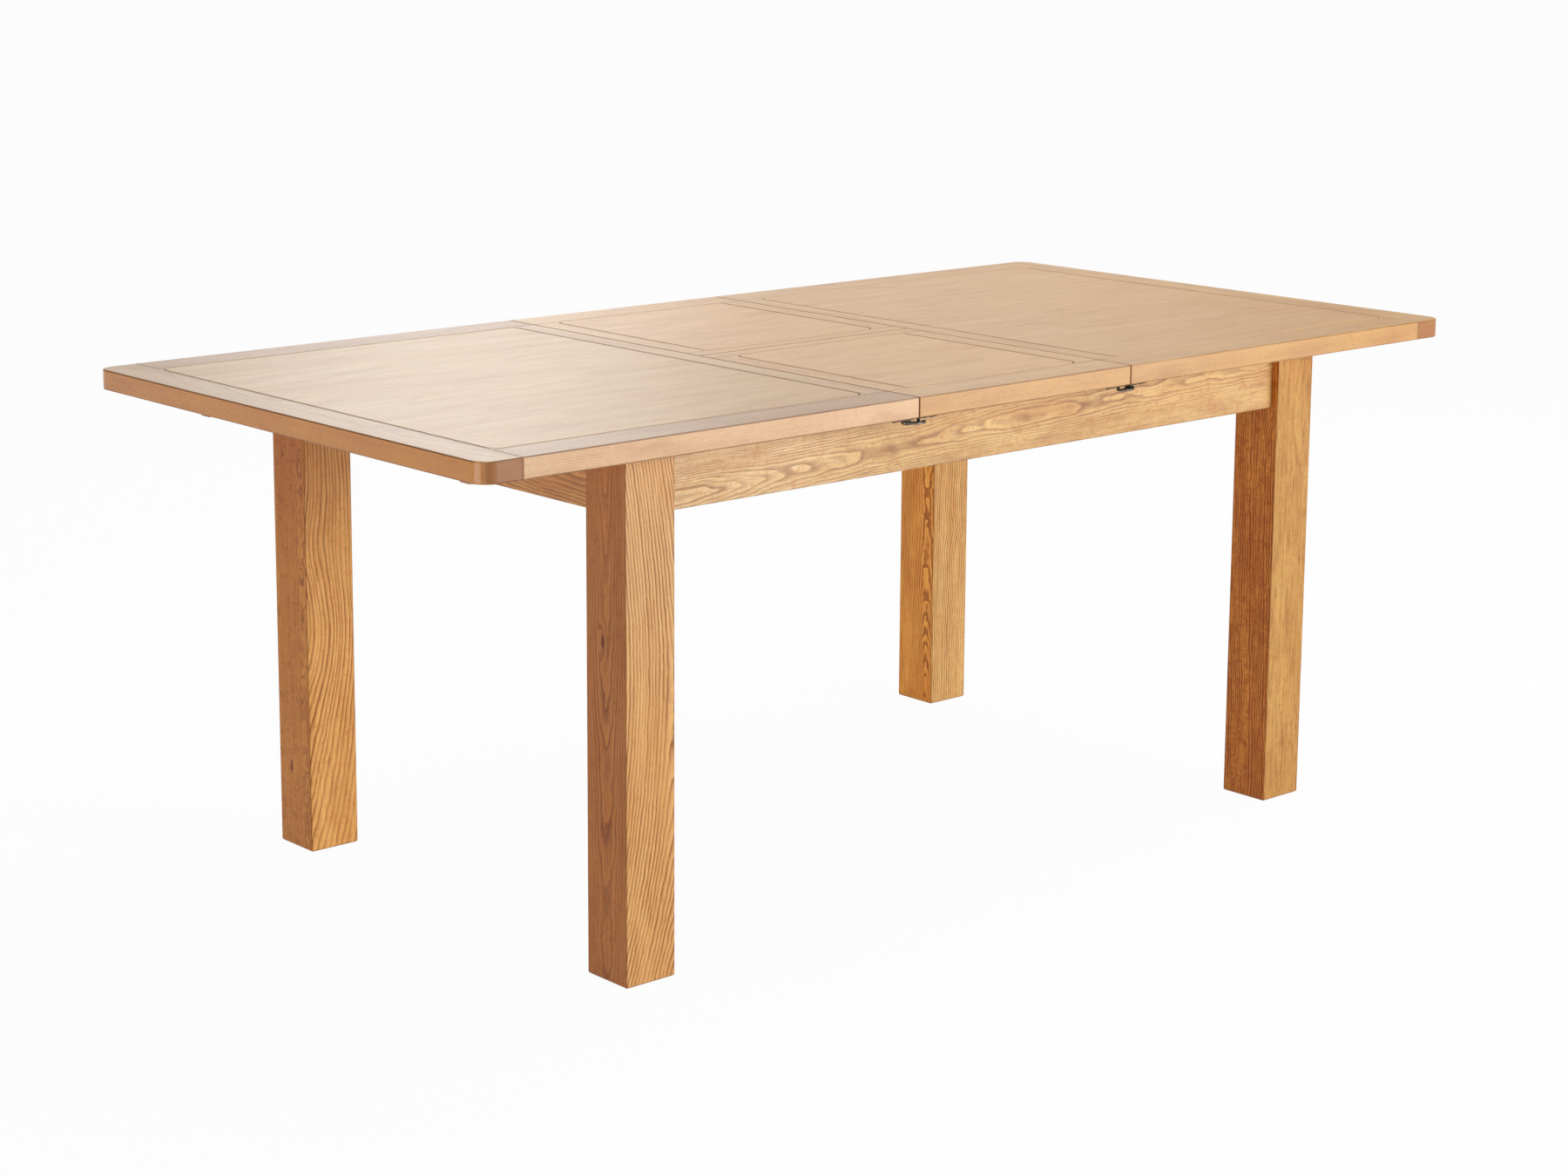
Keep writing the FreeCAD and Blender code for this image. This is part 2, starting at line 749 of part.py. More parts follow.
def endPanel(name, runnerY):
    left = jointX + lippingWidth
    right = tableEndX - borderWidth
    body = board(name, left, right, -panelInnerY, panelInnerY, topUnderside, tableHeight)
    groove(body, left, right, -panelInnerY, panelInnerY)
    centres = [(x, runnerY * side) for x in runnerScrewXs for side in (-1, 1)]
    pilotHoles(body, centres, screwRadius, screwLength / 2)
    return body


def endBoard():
    body = board("right_end_board", tableEndX - borderWidth, tableEndX, -halfWidth, halfWidth,
                 topUnderside, tableHeight)
    ease(body, "Fillet", cornerRadius, lambda edge: runs(edge, "z") and lies(edge, "x", tableEndX))
    flush = (tableEndX - borderWidth).value

    def outside(edge):
        flat = lies(edge, "z", 0) or lies(edge, "z", topThickness)
        return flat and highOf(edge, "x") > flush + insideBy

    ease(body, "Fillet", arrisRadius, outside)
    return body


def plateScrewHoles(body, firstX, step):
    centres = [(firstX, lockY), (firstX + step, lockY)]
    pilotHoles(body, centres, plateScrewRadius, plateScrewLength - lockPlateThickness)


# the screws of a lock plate, and of a keeper plate on the leaf beside it
lockScrewX = jointX + pinFromJoint + pinToScrew
keeperScrewX = jointX - pinFromJoint - pinToScrew


def bevelEnd(body, end, inward):
    # a bevel along the top edge of a rail's end, cut through its rounded corner
    wedge = newSketch(body, "XZ_Plane", overrun - panelInnerY)
    reach = (jointChamfer + overrun) * inward
    back = end - overrun * inward
    outline(wedge, [(back, topThickness - jointChamfer - overrun), (end + reach, topThickness + overrun),
                    (back, topThickness + overrun)])
    pocket(body, wedge, borderWidth + overrun * 2)


def endRail():
    body = board("right_back_rail", jointX, tableEndX - borderWidth, panelInnerY, halfWidth,
                 topUnderside, tableHeight)
    plateScrewHoles(body, lockScrewX, plateScrewStep)

    def outside(edge):
        corner = runs(edge, "z") and lies(edge, "x", jointX)
        return lies(edge, "y", halfWidth) and (runs(edge, "x") or corner)

    ease(body, "Fillet", arrisRadius, outside)
    bevelEnd(body, jointX, 1)
    return body


def endLipping():
    body = board("right_lipping", jointX, jointX + lippingWidth, -panelInnerY, panelInnerY,
                 topUnderside, tableHeight)

    def jointEdge(edge):
        return lies(edge, "z", topThickness) and lies(edge, "x", jointX)

    ease(body, "Chamfer", jointChamfer, jointEdge)
    return body


keep("right_panel", endPanel("right_panel", innerRunnerY))
outerScrewed = endPanel("outer_screwed", outerRunnerY)
keep("left_panel", mirrored("left_panel", outerScrewed, acrossX))
keepLeftRight("{side}_end_board", endBoard())
keepLeftRight("{side}_lipping", endLipping())
backRail = endRail()
frontRail = mirrored("right_front_rail", backRail, acrossY)
keepLeftRight("{side}_back_rail", backRail)
keepLeftRight("{side}_front_rail", frontRail)


def runner(name, middleY, towardsRail):
    # screwed under the right end top and reaching past the leaf, with a stop at its inner end
    outerEnd = tableEndX - runnerSetBack
    stopFace = -(bearerX + bearerThickness / 2 + releaseTravel + stopGap)
    innerEnd = stopFace - stopLength
    body = newBody(name)
    profile = newSketch(body, "XZ_Plane", -(middleY + runnerWidth / 2))
    reliefEnd = jointX + reliefPastJoint
    outline(profile, [
        (innerEnd, runnerBottom - stopDrop), (stopFace, runnerBottom - stopDrop), (stopFace, runnerBottom),
        (outerEnd, runnerBottom), (outerEnd, topUnderside), (reliefEnd, topUnderside),
        (reliefEnd, topUnderside - runnerLeafDrop), (innerEnd, topUnderside - runnerLeafDrop)])
    pad(body, profile, runnerWidth)
    face = middleY + runnerWidth / 2 * towardsRail
    tongue = newSketch(body, "XY_Plane", frameTop - trackDrop - tongueHeight / 2)
    tip = face + tongueProud * towardsRail
    # it ends short of the end apron, also when the top is pulled right out
    tongueEnd = apronInnerX - releaseTravel - runnerGap
    low, high = (face, tip) if towardsRail > 0 else (tip, face)
    rectangle(tongue, innerEnd, tongueEnd, low, high)
    pad(body, tongue, tongueHeight)
    tools = []
    seatDepth = runnerScrewFloor - runnerBottom + overrun
    for x in runnerScrewXs:
        tools.append(bore(f"{name}_bore_{len(tools)}", screwRadius, screwLength,
                          x, middleY, runnerScrewFloor))
        tools.append(bore(f"{name}_seat_{len(tools)}", counterbore, seatDepth,
                          x, middleY, runnerBottom - overrun))
    return bored(f"{name}_drilled", body, tools)


innerRunner = runner("inner_runner", innerRunnerY, 1)
keep("right_back_runner", innerRunner)
keep("right_front_runner", mirrored("right_front_runner", innerRunner, acrossY))
outerRunner = runner("outer_runner", outerRunnerY, -1)
leftRunner = keep("left_back_runner", mirrored("left_back_runner", outerRunner, acrossX))
keep("left_front_runner", mirrored("left_front_runner", leftRunner, acrossY))


def runnerScrews(name, middleY):
    spots = [(x, middleY * side, runnerScrewFloor, unturned) for x in runnerScrewXs for side in (-1, 1)]
    return copies(name, woodScrew, spots)


keep("right_runner_screws", runnerScrews("right_runner_screws", innerRunnerY))
outerScrews = runnerScrews("outer_runner_screws", outerRunnerY)
keep("left_runner_screws", mirrored("left_runner_screws", outerScrews, acrossX))


# --- the leaf: two halves hinged top face to top face ---

def leafRail():
    body = board("leaf_back_rail", -leafEndX, leafEndX, panelInnerY, halfWidth, topUnderside, tableHeight)
    for side in (-1, 1):
        plateScrewHoles(body, keeperScrewX * side, plateScrewStep * -side)

    def outside(edge):
        return lies(edge, "y", halfWidth) and (runs(edge, "x") or runs(edge, "z"))

    ease(body, "Fillet", arrisRadius, outside)
    for side in (-1, 1):
        bevelEnd(body, leafEndX * side, -side)
    return body


hingeXs = [hingeSpacing * n for n in (-1, 0, 1)]
barrelZ = tableHeight - barrelDepth


def seamRail():
    body = board("seam_rail_blank", -leafEndX, leafEndX, seamY, seamRailWidth, topUnderside, tableHeight)

    def leafEdge(edge):
        return lies(edge, "z", topThickness) and lies(edge, "y", seamY)

    ease(body, "Chamfer", jointChamfer, leafEdge)
    tools = [bore(f"barrel_bore_{n}", barrelRadius, barrelLength, x, seamY, barrelZ, alongY)
             for n, x in enumerate(hingeXs, 1)]
    return bored("seam_rail", body, tools)


def leafLipping():
    body = board("leaf_lipping", leafEndX - lippingWidth, leafEndX, seamRailWidth, panelInnerY,
                 topUnderside, tableHeight)

    def leafEdge(edge):
        return lies(edge, "z", topThickness) and lies(edge, "x", leafEndX)

    ease(body, "Chamfer", jointChamfer, leafEdge)
    return body


def leafPanel():
    side = leafEndX - lippingWidth
    body = board("leaf_panel", -side, side, seamRailWidth, panelInnerY, topUnderside, tableHeight)
    groove(body, -side, side, sizeOf(seamRailWidth), panelInnerY)
    return body


keepFrontBack("leaf_{side}_rail", leafRail())
keepFrontBack("leaf_{side}_seam_rail", seamRail())
keepFrontBack("leaf_{side}_panel", leafPanel())
rightLipping = leafLipping()
leftLipping = mirrored("leaf_left_lipping", rightLipping, acrossX)
keepFrontBack("leaf_{side}_right_lipping", rightLipping)
keepFrontBack("leaf_{side}_left_lipping", leftLipping)


def hingeBarrel():
    # a round cup in the seam edge, slotted from above for the curved link
    body = newBody("hinge_barrel")
    sketch = newSketch(body, "XZ_Plane")
    circles(sketch, [(0, 0)], barrelRadius)
    pad(body, sketch, barrelLength, backwards=True)
    slot = newSketch(body, "XZ_Plane")
    floor = foldAxisRise + barrelDepth - linkOuter - slotClearance
    rectangle(slot, -barrelSlot / 2, barrelSlot / 2, floor, barrelRadius + overrun)
    pocket(body, slot, barrelLength - barrelFloor)
    return body


barrels = copies("back_barrels", hingeBarrel(), [(x, seamY, barrelZ, unturned) for x in hingeXs])
keepFrontBack("leaf_{side}_hinge_barrels", barrels)


def hingeLink():
    # a curved link centred on the fold line, ends up, hidden in the two barrels while flat
    body = newBody("hinge_link")
    sketch = newSketch(body, "YZ_Plane")
    reach = math.radians(linkHalfTurn)
    across = math.sin(reach)
    down = math.cos(reach)
    centre = (0, 0)
    points = [(-linkOuter * across, -linkOuter * down), (linkOuter * across, -linkOuter * down),
              (linkInner * across, -linkInner * down), (-linkInner * across, -linkInner * down)]
    outline(sketch, points, {0: (linkOuter, centre, True), 2: (linkInner, centre, False)})
    pad(body, sketch, linkWidth, symmetric=True)
    return body


linkSpots = [(x, 0, tableHeight + foldAxisRise, unturned) for x in hingeXs]
keep("hinge_links", copies("hinge_links", hingeLink(), linkSpots))


# --- table locks: a plate with a swinging crescent lever, and a keeper on the leaf ---

def plateBlank(name, near, far):
    # a flat plate with rounded ends between two distances along x, pinned under the rails
    body = newBody(name)
    sketch = newSketch(body)
    half = lockPlateWidth / 2
    roundedRectangle(sketch, near, far, -half, half, lockPlateCorner)
    pad(body, sketch, lockPlateThickness, backwards=True)
    place(body, 0, lockY, topUnderside)
    return body


def drillPlate(body, firstX, step):
    holes = newSketch(body)
    circles(holes, [(firstX, 0), (firstX + step, 0)], plateScrewRadius)
    pocket(body, holes, lockPlateThickness)


def lockPlate():
    near = jointX + plateFromJoint
    body = plateBlank("lock_plate", near, near + lockPlateLength)
    drillPlate(body, lockScrewX, plateScrewStep)
    pinX = jointX + pinFromJoint
    leverTop = lockPlateThickness + leverHang - leverPlay
    headTop = lockPlateThickness + leverHang + leverThickness + leverPlay
    collar = newSketch(body)
    circles(collar, [(pinX, 0)], collarRadius)
    pad(body, collar, leverTop - leverPlay, backwards=True)
    pin = newSketch(body)
    circles(pin, [(pinX, 0)], pivotRadius)
    pad(body, pin, headTop, backwards=True)
    head = newSketch(body, offset=-headTop)
    circles(head, [(pinX, 0)], pivotHeadRadius)
    pad(body, head, pivotHeadHeight, backwards=True)
    ease(body, "Fillet", pinRound, lambda edge: lies(edge, "z", -headTop - pivotHeadHeight))
    return body


def keeperPlate():
    far = jointX - plateFromJoint
    body = plateBlank("keeper_plate", far - lockPlateLength, far)
    drillPlate(body, keeperScrewX, -plateScrewStep)
    post = newSketch(body)
    circles(post, [(jointX - pinFromJoint, 0)], keeperRadius)
    pad(body, post, lockPlateThickness + keeperLength, backwards=True)
    ease(body, "Fillet", pinRound, lambda edge: lies(edge, "z", -lockPlateThickness - keeperLength))
    return body


def ringSector(sketch, middle, outer, inner, turns):
    # part of a ring about the middle, between two angles
    x, y = middle
    points = []
    for radius, angles in ((outer, turns), (inner, turns[::-1])):
        for angle in angles:
            turn = math.radians(angle)
            points.append((x + radius * math.cos(turn), y + radius * math.sin(turn)))
    outline(sketch, points, {0: (outer, middle, True), 2: (inner, middle, False)})


def lockLever():
    # drawn latched, with the pivot on the origin and the keeper in the slot at -X; the
    # crescent's centre lies inboard, halfway between them
    body = newBody("lock_lever")
    pinSpan = pinFromJoint * 2
    crescent = newSketch(body)
    ringSector(crescent, (-pinSpan / 2, -crescentDrop), crescentOuter, crescentInner, crescentTurns)
    pad(body, crescent, leverThickness)
    boss = newSketch(body)
    circles(boss, [(0, 0)], bossRadius)
    pad(body, boss, leverThickness)
    pivot = newSketch(body, offset=leverThickness)
    circles(pivot, [(0, 0)], pivotRadius + pivotClear)
    pocket(body, pivot, leverThickness)
    # the slot follows a circle about the pivot and opens inboard
    slot = newSketch(body, offset=leverThickness)
    play = keeperRadius + slotPlay
    ringSector(slot, (0, 0), pinSpan + play, pinSpan - play, slotTurns)
    pocket(body, slot, leverThickness)

    def outerCurve(edge):
        return lies(edge, "z", 0) and getattr(edge.Curve, "Radius", 0) == crescentOuter.value

    ease(body, "Chamfer", leverChamfer, outerCurve)
    place(body, jointX + pinFromJoint, lockY,
          topUnderside - lockPlateThickness - leverHang - leverThickness,
          Rotation(upright, -leverRestTurn.value))
    bind(body, "Placement.Rotation.Angle", -leverRestTurn)
    return body


keepFourCorners("lock_lever_{corner}", lockLever())

lockPlateBack = lockPlate()
lockPair = compound("lock_pair", [lockPlateBack, mirrored("lock_plate_front", lockPlateBack, acrossY)])
keepLeftRight("{side}_lock_plates", lockPair)
keeperRight = keeperPlate()
keeperPair = compound("keeper_pair", [keeperRight, mirrored("keeper_left", keeperRight, acrossX)])
keepFrontBack("leaf_{side}_keepers", keeperPair)

plateFace = topUnderside - lockPlateThickness
lockScrewSpots = []
for lockSide in (-1, 1):
    for lockX in (lockScrewX, lockScrewX + plateScrewStep):
        lockScrewSpots.append((lockX, lockY * lockSide, plateFace, unturned))
lockScrews = copies("lock_screw_set", plateScrew, lockScrewSpots)
keepLeftRight("{side}_lock_screws", lockScrews)
keeperScrewSpots = []
for keeperSide in (-1, 1):
    for keeperX in (keeperScrewX, keeperScrewX - plateScrewStep):
        keeperScrewSpots.append((keeperX * keeperSide, lockY, plateFace, unturned))
keeperScrews = copies("keeper_screw_set", plateScrew, keeperScrewSpots)
keepFrontBack("leaf_{side}_keeper_screws", keeperScrews)


# --- check and write ---

doc.recompute()
for item in doc.Objects:
    if "Invalid" in item.State or "Error" in item.State:
        raise RuntimeError(f"{item.Name} has failed: {item.State}")
for pieceName, piece in pieces.items():
    if piece.Shape.isNull() or not piece.Shape.isValid():
        raise RuntimeError(f"{pieceName} has no valid shape")

os.makedirs("parts", exist_ok=True)
for pieceName, piece in pieces.items():
    piece.Shape.exportStep(f"parts/{pieceName}.step")
    print(f"{pieceName}: {len(piece.Shape.Solids)} solid(s), {piece.Shape.Volume / 1000:.1f} cm3")
print(f"{len(pieces)} pieces")
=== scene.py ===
import math
import bpy
from mathutils import Matrix, Vector


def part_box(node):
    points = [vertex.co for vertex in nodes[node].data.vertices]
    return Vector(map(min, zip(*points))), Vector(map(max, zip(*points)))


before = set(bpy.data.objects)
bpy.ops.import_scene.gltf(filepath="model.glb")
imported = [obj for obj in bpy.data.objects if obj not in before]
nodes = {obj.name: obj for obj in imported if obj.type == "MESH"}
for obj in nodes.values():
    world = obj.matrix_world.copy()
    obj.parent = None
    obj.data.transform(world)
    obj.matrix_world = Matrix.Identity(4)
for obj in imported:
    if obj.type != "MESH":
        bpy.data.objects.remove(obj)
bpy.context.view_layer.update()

print("frame loaded:", len(nodes), "nodes")


def tint(red, green, blue):
    # a screen colour from 0 to 255, as the linear colour that shaders take
    parts = [value / 255 for value in (red, green, blue)]
    parts = [part / 12.92 if part <= 0.04045 else ((part + 0.055) / 1.055) ** 2.4 for part in parts]
    return (*parts, 1.0)


class Wire:
    # a shader socket that adds, multiplies and so on as a number would
    def __init__(self, finish, socket):
        self.finish = finish
        self.socket = socket

    def math(self, operation, *values):
        return self.finish.node("ShaderNodeMath", {"operation": operation}, dict(enumerate(values)))

    def __add__(self, other):
        return self.math("ADD", self, other)

    def __sub__(self, other):
        return self.math("SUBTRACT", self, other)

    def __rsub__(self, other):
        return self.math("SUBTRACT", other, self)

    def __mul__(self, other):
        return self.math("MULTIPLY", self, other)

    def __truediv__(self, other):
        return self.math("DIVIDE", self, other)

    def __pow__(self, other):
        return self.math("POWER", self, other)

    def __abs__(self):
        return self.math("ABSOLUTE", self)

    __radd__ = __add__
    __rmul__ = __mul__

    def fraction(self):
        return self.math("FRACT", self)

    def whole(self):
        return self.math("FLOOR", self)

    def exponent(self):
        return self.math("EXPONENT", self)

    def above(self, other):
        return self.math("GREATER_THAN", self, other)

    def least(self, other):
        return self.math("MINIMUM", self, other)

    def most(self, other):
        return self.math("MAXIMUM", self, other)

    def rise(self, start, end):
        # 0 before start, 1 after end, and smooth between them; start may be the larger one
        settings = {"interpolation_type": "SMOOTHSTEP"}
        low, high, ends = (start, end, (0, 1)) if start < end else (end, start, (1, 0))
        values = {"Value": self, "From Min": low, "From Max": high, "To Min": ends[0], "To Max": ends[1]}
        return self.finish.node("ShaderNodeMapRange", settings, values)


class Finish:
    # the nodes of a new material, or of the world, made one call at a time
    def __init__(self, owner):
        if isinstance(owner, str):
            owner = bpy.data.materials.new(owner)
            owner.use_nodes = True
        self.owner = owner
        self.tree = owner.node_tree
        self.tree.nodes.clear()
        kind = "Material" if isinstance(owner, bpy.types.Material) else "World"
        self.output = self.tree.nodes.new("ShaderNodeOutput" + kind)

    def node(self, kind, settings=None, values=None, out=0):
        made = self.tree.nodes.new(kind)
        for key, setting in (settings or {}).items():
            setattr(made, key, setting)
        for key, value in (values or {}).items():
            if isinstance(value, Wire):
                self.tree.links.new(value.socket, made.inputs[key])
            else:
                made.inputs[key].default_value = value
        return Wire(self, made.outputs[out])

    def coordinates(self):
        return self.split(self.node("ShaderNodeTexCoord", out="Object"))

    def split(self, vector):
        made = self.node("ShaderNodeSeparateXYZ", values={0: vector})
        return [Wire(self, output) for output in made.socket.node.outputs]

    def vector(self, x, y, z):
        return self.node("ShaderNodeCombineXYZ", values={0: x, 1: y, 2: z})

    def noise(self, place, detail=2.0, roughness=0.5, distortion=0.0, out=0):
        values = {"Vector": place, "Scale": 1.0, "Detail": detail, "Roughness": roughness,
                  "Distortion": distortion}
        return self.node("ShaderNodeTexNoise", {"noise_dimensions": "3D"}, values, out)

    def chance(self, number):
        return self.node("ShaderNodeTexWhiteNoise", {"noise_dimensions": "1D"}, {"W": number})

    def mix(self, factor, first, second, blend="MIX"):
        # inputs 6 and 7 and output 2 are the colours of a Mix node
        settings = {"data_type": "RGBA", "blend_type": blend, "clamp_factor": True}
        return self.node("ShaderNodeMix", settings, {0: factor, 6: first, 7: second}, 2)

    def surface(self, shader):
        self.tree.links.new(shader.socket, self.output.inputs["Surface"])
        return self.owner


def dress(name, material):
    # every slot of a node's own object takes the material
    piece = nodes[name]
    if not piece.data.materials:
        piece.data.materials.append(material)
    for slot in piece.material_slots:
        slot.material = material


mm = 1000  # the frame is in metres, and the wood is laid out in mm

oak = {
    "pale": tint(238, 190, 118),   # between the rings
    "gold": tint(214, 156, 84),    # clouds and streaks
    "rust": tint(192, 118, 50),
    "line": tint(146, 82, 30),     # eased edges: wear, with painted shade and a painted dark reflection
    "deep": tint(76, 42, 18),      # open pores
    "end": tint(150, 85, 27),      # end grain
    "arrisWearAndShade": tint(104, 58, 26),    # eased edges
    "knot": tint(124, 50, 10),
    "groove": tint(84, 50, 26),    # painted shade in the routed line
}

# the noises in the wood: how long and wide their marks are, in mm, and how rough
grain = {
    "slow": {"across": 110, "detail": 1.0},     # these two are as long as each board says
    "quick": {"across": 22, "detail": 1.5},
    "fibres": {"along": 42, "across": 4.6, "detail": 5.0, "roughness": 0.78},
    "pores": {"along": 8, "across": 0.5, "detail": 1.0},
    "clouds": {"along": 170, "across": 38, "detail": 2.0},
    "streaks": {"along": 420, "across": 6, "detail": 3.0, "roughness": 0.6},
    "curls": {"along": 11, "across": 16, "detail": 2.0, "roughness": 0.6, "distortion": 1.2},
}

slides = {"years": 3.1, "strips": 7.3, "clouds": 2, "streaks": 5}  # how far a board's seed slides these
sideFace = 0.7  # from here on a normal counts as pointing across the board's width

growth = {"every": 24, "years": 2.0}  # over how many mm the rings' width changes, and by how many years

knotShape = {
    "length": 0.35,         # a mm along the board counts as this much, so knots are long
    "bends": (3.4, 0.3),    # where the rings start to bend round it and where they bend most, in its radii
    "push": 1.4,            # how far they bend, in its radii
    "dark": (1.2, 0.5),     # where it starts to be dark and where it is full
    "amount": 0.9,
}

# how each mark colours the wood; shows says where its noise starts to show and where it is full
marks = {
    "line": {
        "comes": (0.0, 0.15),   # in which part of a year it comes up
        "least": 0.7,           # how strong the faintest one is, and how much stronger another may be
        "luck": 0.45,
        "fibre": 0.7,           # how strong it is where there are no fibres
        "most": 0.95,
    },
    "patches": {"shows": (0.3, 0.6), "amount": 0.5, "plain": 0.6},    # where the lines are stronger
    "drift": {"clouds": 2.0, "level": 0.45},                          # from pale to gold
    "rust": {"shows": (0.54, 0.78), "amount": 0.45},
    "pores": {"shows": (0.54, 0.72), "start": 9, "inLine": 0.6, "between": 0.12, "most": 0.8},
    "darkFibres": {"over": 0.52, "amount": 2.2, "most": 0.6},
    "paleFibres": {"under": 0.46, "amount": 2.4, "most": 0.5},
    "rays": {"along": 9, "round": 150, "outward": 14, "shows": (0.6, 0.76), "amount": 0.14},
    "curls": {"shows": (0.5, 0.72)},
    "swirls": {"shows": (0.48, 0.68)},
    "staves": {"slide": 3000, "shift": 60, "amount": 0.3},            # along and across the log, in mm
    "endGrain": {"shows": (0.55, 0.9), "amount": 0.85, "coat": 0.8},  # coat says how dry it stays
}

edgeWearAndShade = {"edge": (2.6, 1.0), "clouds": 0.6, "plain": 0.6}  # an eased edge, darkened for wear and as painted shade and dark reflection, in mm from its corner
routed = {"starts": (0.1, 1.0), "ends": (5, 3)}           # painted shade in the routed line, in mm below the top

touch = {
    "poreDepth": 0.5,       # relief, as shares of its depth
    "lineDepth": 0.35,
    "fibreHeight": 0.2,
    "depth": 0.0004,        # in metres
    "glossBase": 0.08,      # taken off the roughness, because the marks add to it
    "glossFibre": 0.1,
    "glossPore": 0.12,
    "glossCloud": 0.08,
    "glossWorn": 0.3,
    "lacquer": 1.5,         # how much the coat bends light
}

plainBoard = {
    "heart": (20.0, -120.0),   # where the log's middle is, in mm from the board's own, across and through
    "lean": (0.01, 0.03),      # how far it drifts over each mm of the board's length
    "bow": (0.0, 0.0),         # and how that drift grows
    "fan": 0.0,                # how far the rings close up over each mm of the length
    "ring": 3.2,               # how far apart the rings are, in mm
    "wave": 10.0,              # slow warps of the rings and their length, in mm
    "long": 300.0,
    "ripple": 1.5,             # quick ones
    "short": 50.0,
    "seed": 0.0,               # makes a board unlike the others
    "swells": (),              # along, across, through, length, width and how far the rings bulge
    "knots": (),               # along, across, through and radius
    "turned": {},              # what differs on the two faces across the width
    "lines": 0.7,              # how strong the rings' lines are
    "quiet": 1.0,              # and how much of that is left on those faces
    "edge": 1.4,               # how fast the dark of a ring fades
    "fine": 1.0,               # how strong the fibres are
    "cloud": 1.0,
    "streak": 1.6,
    "mottle": 0.3,             # rust curls
    "swirl": 0.0,              # dark curls on those faces
    "tone": (1.0, 1.0, 1.0),
    "sideToneAndShade": (1.0, 1.0, 1.0),  # tone of those faces: partly the wood's own, partly painted shade where they turn from the light and painted sheen
    "paintedLightFade": (),                # along which stretch painted light comes in, and its tone: painted shade on one leg, a painted white sheen on others
    "stave": 0.0,              # how wide the glued strips of a panel are, in mm
    "grooved": 0.0,            # how dark the painted shade in the routed line is
    "wearAndShade": 0.5,               # how dark the eased edges are, for wear and painted shade
    "relief": 0.2,
    "gloss": 0.42,
    "shine": 0.5,
    "coat": 0.3,               # lacquer, and how rough it is
    "sheen": 0.26,
}


def grainNoise(finish, place, size, start=0.0, out=0):
    # a noise drawn out along the board; start slides it, and output 1 holds three noises
    u, v, w = place
    spot = finish.vector(u / size["along"] + start, v / size["across"], w / size["across"])
    return finish.noise(spot, size["detail"], size.get("roughness", 0.5), size.get("distortion", 0.0), out)


def warp(finish, board, place, kind, length):
    # three noises that push the rings about, as long as the board says
    size = {**grain[kind], "along": board[length]}
    return finish.split(grainNoise(finish, place, size, board["seed"], out=1))


def countRings(finish, board, place):
    # years from the log's heart, the way and angle from there, and the dark of knots
    u, v, w = place
    slow = warp(finish, board, place, "slow", "long")
    quick = warp(finish, board, place, "quick", "short")
    wave, ripple = board["wave"] * 2, board["ripple"] * 2
    across = v + v * u * board["fan"] - board["heart"][0] - u * board["lean"][0]
    through = w - board["heart"][1] - u * board["lean"][1]
    across = across + (slow[0] - 0.5) * wave + (quick[0] - 0.5) * ripple - u * u * board["bow"][0]
    through = through + (slow[1] - 0.5) * wave + (quick[1] - 0.5) * ripple - u * u * board["bow"][1]
    dark = 0.0
    for knotU, knotV, knotW, size in board["knots"]:
        near = (((u - knotU) * knotShape["length"]) ** 2 + (v - knotV) ** 2 + (w - knotW) ** 2) ** 0.5 / size
        across = across + near.rise(*knotShape["bends"]) * (knotShape["push"] * size)
        dark = near.rise(*knotShape["dark"]) + dark
    reach = (across ** 2 + through ** 2) ** 0.5
    for atU, atV, atW, longBy, wideBy, push in board["swells"]:
        away = ((u - atU) / longBy) ** 2 + ((v - atV) / wideBy) ** 2 + ((w - atW) / wideBy) ** 2
        reach = reach + (0 - away).exponent() * push
    uneven = finish.noise(finish.vector(reach / growth["every"], board["seed"], 0.5), detail=1.0)
    years = reach / board["ring"] + uneven * growth["years"]
    angle = finish.node("ShaderNodeMath", {"operation": "ARCTAN2"}, {0: across, 1: through})
    return years, reach, angle, dark


def figureOak(finish, board, place, sideways):
    # the marks of the wood; fibres and pores run with the grain, and rays stand across the rings
    seed = board["seed"]
    years, reach, angle, knots = countRings(finish, board, place)
    if board["turned"]:
        turned = countRings(finish, {**board, **board["turned"]}, place)
        years = years + (turned[0] - years) * sideways
    part = years.fraction()
    line, patches, rays = marks["line"], marks["patches"], marks["rays"]
    band = (1 - part) ** board["edge"] * part.rise(*line["comes"])
    band = band * (finish.chance(years.whole() + seed * slides["years"]) * line["luck"] + line["least"])
    fibres = grainNoise(finish, place, grain["fibres"])
    pores = grainNoise(finish, place, grain["pores"], marks["pores"]["start"])
    spot = finish.vector(place[0] / rays["along"], angle * rays["round"], reach / rays["outward"])
    clouds = finish.split(grainNoise(finish, place, grain["clouds"], seed * slides["clouds"], out=1))
    patchy = clouds[1].rise(*patches["shows"]) * patches["amount"] + patches["plain"]
    strength = (1 - sideways * (1 - board["quiet"])) * board["lines"]
    return {
        "band": band,
        "line": (band * (fibres + line["fibre"]) * patchy * strength).least(line["most"]),
        "fibres": fibres,
        "pores": pores.rise(*marks["pores"]["shows"]),
        "rays": finish.noise(spot, detail=1.0).rise(*rays["shows"]),
        "clouds": clouds,
        "streaks": grainNoise(finish, place, grain["streaks"], seed * slides["streaks"]),
        "curls": grainNoise(finish, place, grain["curls"], seed),
        "knots": knots,
    }


